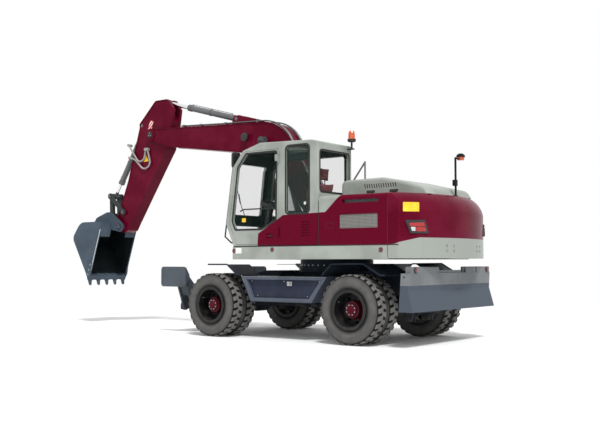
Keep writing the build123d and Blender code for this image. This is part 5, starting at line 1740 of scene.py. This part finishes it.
    def hood(self, bench: Bench) -> None:
        """Black backs of painted shade in the vent slits, hinges and the lamp head's amber part.

        Args:
            bench: The hand tools.
        """
        slits, hinges = [], []
        for _, edge in SIDES:
            for index in range(self.slit_count):
                x = self.slit_start - self.slit_pitch * index
                outline = facing(edge, [(x + dx, z) for dx, z in self.slit])
                slits.append(bench.plate("slit", outline, flank(edge, self.hood_side), 0.001, 0.0))
        # Black plates in the vent slits: painted shade inside the hood.
        bench.dress(bench.join("hood_slit_shade", slits), "upper", "rubber seal", Slot.TRIM)
        for _, edge in SIDES:
            near, far, z = edge * self.hinge_y, edge * (self.hinge_y + 0.012), self.hinge_z
            for x in self.hinge_xs:
                hinges.append(bench.block("hinge", at(x - 0.07, near, z), at(x + 0.07, far, z + 0.03), 0.003))
                hinges.append(bench.rod("knuckle", at(x - 0.05, far, z), at(x + 0.05, far, z), 0.01))
        bench.dress(bench.join("hood_hinges", hinges), "upper", "trim", Slot.TRIM)
        profile = [(0, -0.002), (0.047, -0.002), (0.0525, 0.003), (0.058, 0.046), (0, 0.046)]
        glow = bench.turned("tail_beacon_glow", profile, at(-2.115, -0.23, 2.73), Vector((0, 0, 1)))
        bench.dress(glow, "upper", "amber", Slot.AMBER)


@dataclass
class Cab:
    """Fittings of the cab, inside and out."""

    skin: float = 1.25
    door_window: Outline = (
        (0.258, 2.896),
        (0.87, 2.896),
        (1.04, 2.69),
        (1.15, 1.85),
        (1.09, 1.713),
        (0.552, 1.713),
        (0.272, 1.849),
    )
    quarter: Outline = ((-0.362, 1.935), (0.071, 1.935), (0.071, 2.96), (-0.362, 2.96))
    right_window: Outline = ((-0.42, 1.95), (1.08, 1.95), (1.01, 2.69), (0.85, 2.86), (-0.42, 2.86))
    rear_window: Outline = ((0.43, 2.25), (1.193, 2.25), (1.193, 2.87), (0.43, 2.87))
    door_outline: Outline = (
        (0.226, 1.475),
        (0.226, 2.935),
        (0.88, 2.935),
        (1.085, 2.69),
        (1.215, 1.81),
        (1.085, 1.53),
        (1.07, 1.475),
    )
    seal: float = 0.022
    lever_feet: tuple[Point, ...] = ((0.3, 1.1), (0.3, 0.49))
    pad_cuts: int = 11
    pad_channels: tuple[float, ...] = (-0.42, 0.0, 0.42)
    voxel: float = 0.008
    pressure: float = 4
    cloth_frames: int = 20
    swell: float = 0.012
    work_lamps: tuple[float, ...] = (0.58, 1.01)
    beacon: Point = (-0.6, 0.455)

    def build(self, bench: Bench) -> None:
        """Makes every fitting.

        Args:
            bench: The hand tools.
        """
        self.seals(bench)
        self.door(bench)
        self.inside(bench)
        self.seat(bench)
        self.lamps(bench)

    def seals(self, bench: Bench) -> None:
        """Rubber round each pane, and the gap round the door.

        Args:
            bench: The hand tools.
        """
        left, wide = side_plane(self.skin - 0.001), self.seal + 0.008
        outline = rounded(grown(facing(1, self.door_window), self.seal), 0.05)
        band = bench.plate("door_seal", outline, left, 0.004, 0.001, wide)
        bench.dress(band, "door", "rubber seal", Slot.TRIM)
        gap = grown(facing(1, self.door_outline), 0.0055)
        line = bench.plate("door_gap_line", gap, side_plane(self.skin - 0.014), 0.012, 0.0, 0.004)
        bench.dress(line, "upper", "rubber seal", Slot.TRIM)
        rear = Datum(at(-0.529, 0, 0), Vector((0, -1, 0)), Vector((0, 0, 1)))
        # Outline, its growth, corner radius, plane and the band's width.
        bands = [
            bench.plate("seal", rounded(grown(outline, growth), radius), plane, 0.004, 0.001, width)
            for outline, growth, radius, plane, width in (
                (facing(1, self.quarter), self.seal, 0.075, left, wide),
                (self.right_window, 0.02, 0.075, side_plane(0.351, False), 0.028),
                (facing(1, self.rear_window), 0.02, 0.065, rear, 0.028),
            )
        ]
        bench.dress(bench.join("cab_seals", bands), "upper", "rubber seal", Slot.TRIM)

    def door(self, bench: Bench) -> None:
        """Outer handle, a blank plate and the inner grab bar of the door.

        Args:
            bench: The hand tools.
        """
        corners = [at(x, y, 1.6) for x, y in ((0.345, 1.238), (0.345, 1.246), (0.435, 1.246), (0.435, 1.238))]
        bench.dress(bench.pipe("door_handle", corners, 0.006, 0.01), "door", "trim", Slot.TRIM)
        outline = rounded(oblong(-0.972, 1.825, -0.892, 1.888), 0.005)
        plate = bench.plate("door_plate", outline, side_plane(1.2285), 0.002, 0.0005)
        bench.dress(plate, "door", "yellow", Slot.TRIM)
        corners = [at(0.31, 1.205, 2.0), at(0.36, 1.185, 2.03), at(0.98, 1.185, 2.03), at(1.03, 1.205, 2.0)]
        bench.dress(bench.pipe("door_grab", corners, 0.011, 0.03), "door", "trim", Slot.TRIM)

    def inside(self, bench: Bench) -> None:
        """Floor mat, steering wheel's rim and the levers with their grips.

        Args:
            bench: The hand tools.
        """
        mat = bench.block("floor_mat", at(-0.42, 0.42, 1.4855), at(1.02, 1.18, 1.495), 0.003)
        bench.dress(mat, "upper", "mat", Slot.TRIM)
        lean = Vector((-0.28, 0, 0.96)).normalized()
        rim = bench.ring("steering_rim", at(0.712, 0.8, 2.105), lean, 0.178, 0.014)
        bench.dress(rim, "upper", "trim", Slot.TRIM)
        profile = [(0, 0), (0.018, 0), (0.024, 0.03), (0.02, 0.07), (0.026, 0.1), (0.02, 0.118), (0, 0.122)]
        levers = []
        for x, y in self.lever_feet:
            corners = [at(x, y, 1.96), at(x + 0.01, y, 2.08), at(x + 0.03, y, 2.16)]
            levers.append(bench.pipe("lever", corners, 0.01, 0.03))
            levers.append(bench.turned("grip", profile, at(x + 0.02, y, 2.12), Vector((0.15, 0, 1)), 20))
        bench.dress(bench.join("levers", levers), "upper", "trim", Slot.TRIM)

    def seat(self, bench: Bench) -> None:
        """The driver's seat: a cushion, a back and a headrest on a base, and a belt.

        Args:
            bench: The hand tools.
        """
        base = bench.block("seat_base", at(-0.18, 0.64, 1.4865), at(0.25, 0.96, 1.76), 0.02)
        stalks = [bench.rod("stalk", at(-0.29, y, 2.38), at(-0.29, y, 2.47), 0.008) for y in (0.74, 0.86)]
        bench.dress(bench.join("seat_frame", [base, *stalks]), "upper", "trim", Slot.TRIM, ["seat"])
        for name, low, high, lean in (
            ("seat_cushion", at(-0.24, 0.565, 1.775), at(0.3, 1.035, 1.89), 0.0),
            ("seat_back", at(-0.3, 0.57, 1.84), at(-0.17, 1.03, 2.42), -0.16),
            ("headrest", at(-0.345, 0.685, 2.445), at(-0.255, 0.915, 2.635), -0.1),
        ):
            pad = self.pad(bench, name, low, high, lean)
            bench.dress(pad, "upper", "cloth", Slot.FABRIC)
        corners = [at(-0.16, 1.0, 2.3), at(-0.08, 0.93, 2.1), at(0.02, 0.75, 1.93), at(0.05, 0.62, 1.9)]
        bench.dress(bench.pipe("belt", corners, 0.014, 0.08), "upper", "belt", Slot.FABRIC)

    def pad(self, bench: Bench, name: str, low: Vector, high: Vector, lean: float) -> bpy.types.Object:
        """A crowned pad whose sides pull in between its corners.

        Args:
            bench: The hand tools.
            name: The piece's name.
            low: Its lowest corner.
            high: Its highest corner.
            lean: How far it leans back for each metre of height.

        Returns:
            The piece.
        """
        bench.clear()
        bpy.ops.mesh.primitive_cube_add(size=1, location=(low + high) / 2, scale=high - low)
        piece = bench.settle(name)
        bpy.ops.object.mode_set(mode="EDIT")
        bpy.ops.mesh.select_all(action="SELECT")
        bpy.ops.mesh.subdivide(number_cuts=self.pad_cuts)
        bpy.ops.object.mode_set(mode="OBJECT")
        middle, half = (low + high) / 2, (high - low) / 2
        thin = min(range(3), key=lambda k: half[k])
        wide = [k for k in range(3) if k != thin]
        for vertex in piece.data.vertices:
            part = Vector([(vertex.co[k] - middle[k]) / half[k] for k in range(3)])
            dome = (1 - part[wide[0]] ** 4) * (1 - part[wide[1]] ** 4)
            for k in wide:
                other = wide[1] if k == wide[0] else wide[0]
                pull = 1 - 0.05 * (1 - part[other] ** 2) * abs(part[k]) ** 3
                vertex.co[k] = middle[k] + part[k] * pull * half[k] * (0.98 - 0.06 * part[thin] ** 2)
            vertex.co[thin] = middle[thin] + part[thin] * half[thin] * (0.5 + 0.3 * dome)
        self.fill(bench, piece)
        for vertex in piece.data.vertices:
            part = Vector([(vertex.co[k] - middle[k]) / half[k] for k in range(3)])
            dome = max(0.0, 1 - part[wide[0]] ** 4) * max(0.0, 1 - part[wide[1]] ** 4)
            gap = min(abs(part[wide[1]] - line) for line in self.pad_channels) * half[wide[1]]
            channel = max(0.0, 1 - gap / 0.014)
            sink = 0.16 * channel * dome * half[thin]
            vertex.co[thin] -= math.copysign(sink, part[thin])
            for k in range(3):
                vertex.co[k] = min(max(vertex.co[k], low[k]), high[k])
            vertex.co.x += lean * (vertex.co.z - low.z)
        rounder = piece.modifiers.new("rounder", "SUBSURF")
        rounder.levels = rounder.render_levels = 1
        bench.apply(piece, rounder)
        return bench.smooth(piece, 70)

    def fill(self, bench: Bench, piece: bpy.types.Object) -> None:
        """Stuffs a pad: its cover is run as cloth under pressure, and how far it swells is capped.

        Args:
            bench: The hand tools.
            piece: The pad, a little smaller than it will be.
        """
        skin = piece.modifiers.new("skin", "REMESH")
        skin.mode = "VOXEL"
        skin.voxel_size = self.voxel
        bench.apply(piece, skin)
        start = [vertex.co.copy() for vertex in piece.data.vertices]
        cover = piece.modifiers.new("cover", "CLOTH")
        cover.settings.quality = 4
        cover.settings.use_pressure = True
        cover.settings.uniform_pressure_force = self.pressure
        cover.settings.effector_weights.gravity = 0
        cover.point_cache.frame_start = 1
        cover.point_cache.frame_end = self.cloth_frames
        scene = bpy.context.scene
        for step in range(1, self.cloth_frames + 1):
            scene.frame_set(step)
        bench.apply(piece, cover)
        scene.frame_set(1)
        for vertex, place in zip(piece.data.vertices, start):
            shift = vertex.co - place
            if shift.length > self.swell:
                vertex.co = place + shift.normalized() * self.swell

    def lamps(self, bench: Bench) -> None:
        """Lenses of the work lamps, the mirror's glass, the beacon's foot and the wiper.

        Args:
            bench: The hand tools.
        """
        lenses = []
        for y in self.work_lamps:
            plane = Datum(at(0.797, y, 3.1), Vector((0, 1, 0)), Vector((0.12, 0, 0.99)).normalized())
            shape = rounded(oblong(-0.05, -0.03, 0.05, 0.03), 0.01)
            lenses.append(bench.plate("work_lens", shape, plane, 0.004, 0.001))
        bench.dress(bench.join("work_lenses", lenses), "upper", "white lens", Slot.TRIM)
        plane = Datum(at(1.193, 1.105, 2.835), Vector((0, -1, 0)), Vector((0, 0, 1)))
        shape = rounded(oblong(-0.08, -0.115, 0.08, 0.115), 0.035)
        bench.dress(bench.plate("mirror_glass", shape, plane, 0.002, 0.0005), "upper", "mirror", Slot.CHROME)
        x, y = self.beacon
        profile = [(0, 0), (0.055, 0), (0.066, 0.016), (0.066, 0.044), (0.057, 0.052), (0, 0.052)]
        foot = bench.turned("beacon_foot", profile, at(x, y, 3.058), Vector((0, 0, 1)))
        bench.dress(foot, "upper", "trim", Slot.TRIM)
        stem = bench.pipe("beacon_stem", [at(x, y, 2.95), at(x, y, 3.06)], 0.0155)
        bracket = bench.block("beacon_bracket", at(-0.637, 0.428, 2.938), at(-0.5305, 0.482, 2.957), 0.002)
        bench.dress(bench.join("beacon_mount", [stem, bracket]), "upper", "trim", Slot.TRIM)
        wiper = [
            bench.pipe("arm", [at(1.235, 1.0, 2.3), at(1.262, 0.92, 2.12), at(1.262, 0.82, 1.95)], 0.006, 0.03),
            bench.pipe("blade", [at(1.228, 1.06, 2.42), at(1.258, 0.95, 2.15)], 0.005),
        ]
        bench.dress(bench.join("wiper", wiper), "upper", "trim", Slot.TRIM)


@dataclass
class Arm:
    """Fittings of the boom, the stick, the bucket and their cylinders."""

    # Name, body, X and Z of each pin, the station of its ends across and its radius.
    pins: tuple[tuple[str, str, Point, float, float], ...] = (
        ("boom_foot", "boom", (0.15, 1.75), 0.245, 0.06),
        ("stick", "stick", (4.2, 3.62), 0.191, 0.062),
        ("bucket", "bucket", (5.03, 1.89), 0.209, 0.05),
        ("rocker", "rocker", (4.975, 2.17), 0.161, 0.046),
        ("rocker_eye", "rocker", (5.36, 2.5), 0.161, 0.046),
        ("link_eye", "link", (5.345, 2.105), 0.160, 0.044),
        ("boom_eye", "boom", (1.36, 3.27), 0.205, 0.07),
    )
    stick_side: float = 0.1145
    stick_strip: Outline = ((4.268, 3.905), (4.185, 3.89), (4.251, 3.68), (4.335, 3.755))
    stick_plate: Outline = ((4.38, 3.27), (4.45, 3.12), (4.31, 3.13))
    # The bucket's inside in profile: along its floor and back, then its open mouth.
    hollow: Outline = (
        (5.33, 1.9675),
        (5.746, 1.9675),
        (5.816, 1.9567),
        (5.8794, 1.9255),
        (5.93, 1.8769),
        (6.0381, 1.7375),
        (6.0613, 1.6754),
        (6.0455, 1.611),
        (5.6646, 0.975),
    )
    mouth: Outline = ((5.5745, 0.955), (5.275, 1.86))
    lining_y: float = 0.448
    brow: Outline = ((5.258, 1.842), (5.276, 1.852), (5.326, 1.7), (5.308, 1.694))
    crown: Outline = ((5.262, 1.84), (5.297, 1.982), (5.313, 1.978), (5.278, 1.836))
    wear_strip: Outline = ((5.72, 1.015), (6.02, 1.52), (6.03, 1.514), (5.73, 1.009))
    lip: Outline = ((5.56, 0.935), (5.262, 1.835), (5.277, 1.84), (5.574, 0.94))
    cutter_bolts: Outline = ((5.535, 1.15), (5.57, 1.05), (5.6, 0.96))
    tooth_count: int = 5
    tooth_pitch: float = 0.21
    tooth_pin: Point = (5.61, 0.9)

    def build(self, bench: Bench) -> None:
        """Makes every fitting.

        Args:
            bench: The hand tools.
        """
        self.pin_caps(bench)
        self.barrel_pipes(bench)
        self.markings(bench)
        self.bucket(bench)
        self.boom_lamp(bench)

    def pin_caps(self, bench: Bench) -> None:
        """Retaining caps on the ends of the pins.

        Args:
            bench: The hand tools.
        """
        for name, body, (x, z), y, radius in self.pins:
            profile = [(0, -0.001), (radius, -0.001), (radius, 0.004), (radius * 0.88, 0.007), (0, 0.007)]
            caps = [bench.turned("cap", profile, at(x, edge * y, z), Vector((0, edge, 0)), 28) for _, edge in SIDES]
            bench.dress(bench.join("pin_caps_" + name, caps), body, "linkage", Slot.CHASSIS)
            spots = [(x + a, z + b) for a, b in circle(3, radius * 0.5, 0.75)]
            heads = bench.side_bolts("pin_bolts_" + name, spots, y + 0.006, 0.009, 0.009)
            bench.dress(heads, body, "steel", Slot.STEEL)

    def barrel_pipes(self, bench: Bench) -> None:
        """Steel pipes and ports along the cylinders.

        Args:
            bench: The hand tools.
        """
        # Name, body, foot, eye, stations across, how far off, and where the pipe starts and ends.
        for name, body, foot, eye, ys, offset, start, end in (
            ("boom", "boom_barrels", (0.8, 1.44), (1.36, 3.27), (0.262, -0.262), 0.068, 0.26, 1.17),
            ("stick", "stick_barrel", (2.1, 3.735), (3.88, 4.22), (0.0,), 0.07, 0.2, 1.2),
            ("bucket", "bucket_barrel", (4.5, 3.83), (5.36, 2.5), (0.0,), 0.072, 0.2, 1.18),
        ):
            a, b = Vector((*foot, 0)), Vector((*eye, 0))
            run = (b - a).normalized()
            up = Vector((-run.y, run.x, 0))
            runs = []
            for y in ys:
                line = []
                for along, lift in ((start, 0.05), (start, offset), (end, offset), (end, 0.05)):
                    p = a + run * along + up * lift
                    line.append(at(p.x, y, p.y))
                runs.append(bench.pipe("line", line, 0.008, 0.02))
                for along in (start, end):
                    p, q = a + run * along + up * 0.05, a + run * along + up * (offset + 0.012)
                    runs.append(bench.rod("port", at(p.x, y, p.y), at(q.x, y, q.y), 0.016, 0.002, 16))
            bench.dress(bench.join("cylinder_pipes_" + name, runs), body, "steel", Slot.STEEL)

    def markings(self, bench: Bench) -> None:
        """A striped marking and a blank plate on each side of the stick.

        Args:
            bench: The hand tools.
        """
        strips, plates = [], []
        for _, edge in SIDES:
            plane = flank(edge, self.stick_side)
            strips.append(bench.plate("strip", facing(edge, self.stick_strip), plane, 0.002, 0.0))
            plates.append(bench.plate("plate", rounded(facing(edge, self.stick_plate), 0.012), plane, 0.002, 0.0))
        bench.dress(bench.join("stick_strips", strips), "stick", "tape", Slot.RED)
        bench.dress(bench.join("stick_plates", plates), "stick", "yellow", Slot.TRIM)

    def bucket(self, bench: Bench) -> None:
        """A near black lining of painted shade inside, edge plates, cutter bolts, tooth pins, wear strips and bright
        lips.

        Args:
            bench: The hand tools.
        """
        # A near black lining over the bucket's inside: painted shade in the hollow.
        sheets = [
            bench.plate("lining", facing(-edge, self.hollow + self.mouth), flank(-edge, -0.4495), 0.002, 0.0)
            for _, edge in SIDES
        ]
        for (x0, z0), (x1, z1) in zip(self.hollow, self.hollow[1:]):
            a, b = at(x0, -self.lining_y, z0), at(x1, -self.lining_y, z1)
            flat = Datum(a, (b - a).normalized(), Vector((0, 1, 0)))
            sheets.append(bench.plate("lining", oblong(0, 0, (b - a).length, 2 * self.lining_y), flat, 0.002, 0.0))
        bench.dress(bench.join("bucket_shade_lining", sheets), "bucket", "worn", Slot.SLATE)
        plates = [
            bench.plate("brow", facing(1, outline), side_plane(y), 0.249, 0.002)
            for y in (0.2, -0.449)
            for outline in (self.brow, self.crown)
        ]
        bench.dress(bench.join("bucket_brow", plates), "bucket", "bucket", Slot.SLATE)
        bolts = bench.side_bolts("cutter_bolts", self.cutter_bolts, 0.4785, 0.014, 0.012)
        bench.dress(bolts, "bucket", "steel", Slot.STEEL)
        x, z = self.tooth_pin
        tips = []
        for index in range(self.tooth_count):
            y = (index - (self.tooth_count - 1) / 2) * self.tooth_pitch
            tips.append(bench.rod("tooth_pin", at(x, y - 0.046, z), at(x, y + 0.046, z), 0.01, 0.001, 12))
        bench.dress(bench.join("tooth_pins", tips), "bucket", "steel", Slot.STEEL)
        strips = [
            bench.plate("strip", facing(1, self.wear_strip), side_plane(y - 0.03), 0.06, 0.0) for y in (-0.3, 0.0, 0.3)
        ]
        bench.dress(bench.join("bucket_strips", strips), "bucket", "bucket", Slot.SLATE)
        lips = [
            bench.plate("lip", facing(edge, self.lip), flank(edge, 0.4645), 0.005, 0.001) for _, edge in SIDES
        ]
        bench.dress(bench.join("bucket_lips", lips), "bucket", "bright", Slot.STEEL)

    def boom_lamp(self, bench: Bench) -> None:
        """The round work lamp on the boom's side.

        Args:
            bench: The hand tools.
        """
        shell = [(0, 0.02), (0.05, 0.03), (0.072, 0.055), (0.074, 0.082), (0.068, 0.088), (0.03, 0.092), (0, 0.092)]
        lamp = bench.turned("boom_lamp", shell, at(1.78, 0.1723, 3.363), Vector((0, 1, 0)))
        bench.dress(lamp, "boom", "trim", Slot.TRIM)


def main() -> None:
    """Builds the scene in order."""
    logging.basicConfig(level=logging.INFO, format="%(name)s: %(message)s")
    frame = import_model()
    Studio().build()
    bench = Bench(Finishes())
    Frame().dress(frame["nodes"], bench)
    for group in (Wheels(), Undercarriage(), Superstructure(), Cab(), Arm()):
        group.build(bench)
    log.info("%d new pieces", bench.count)


if __name__ == "__main__":
    main()
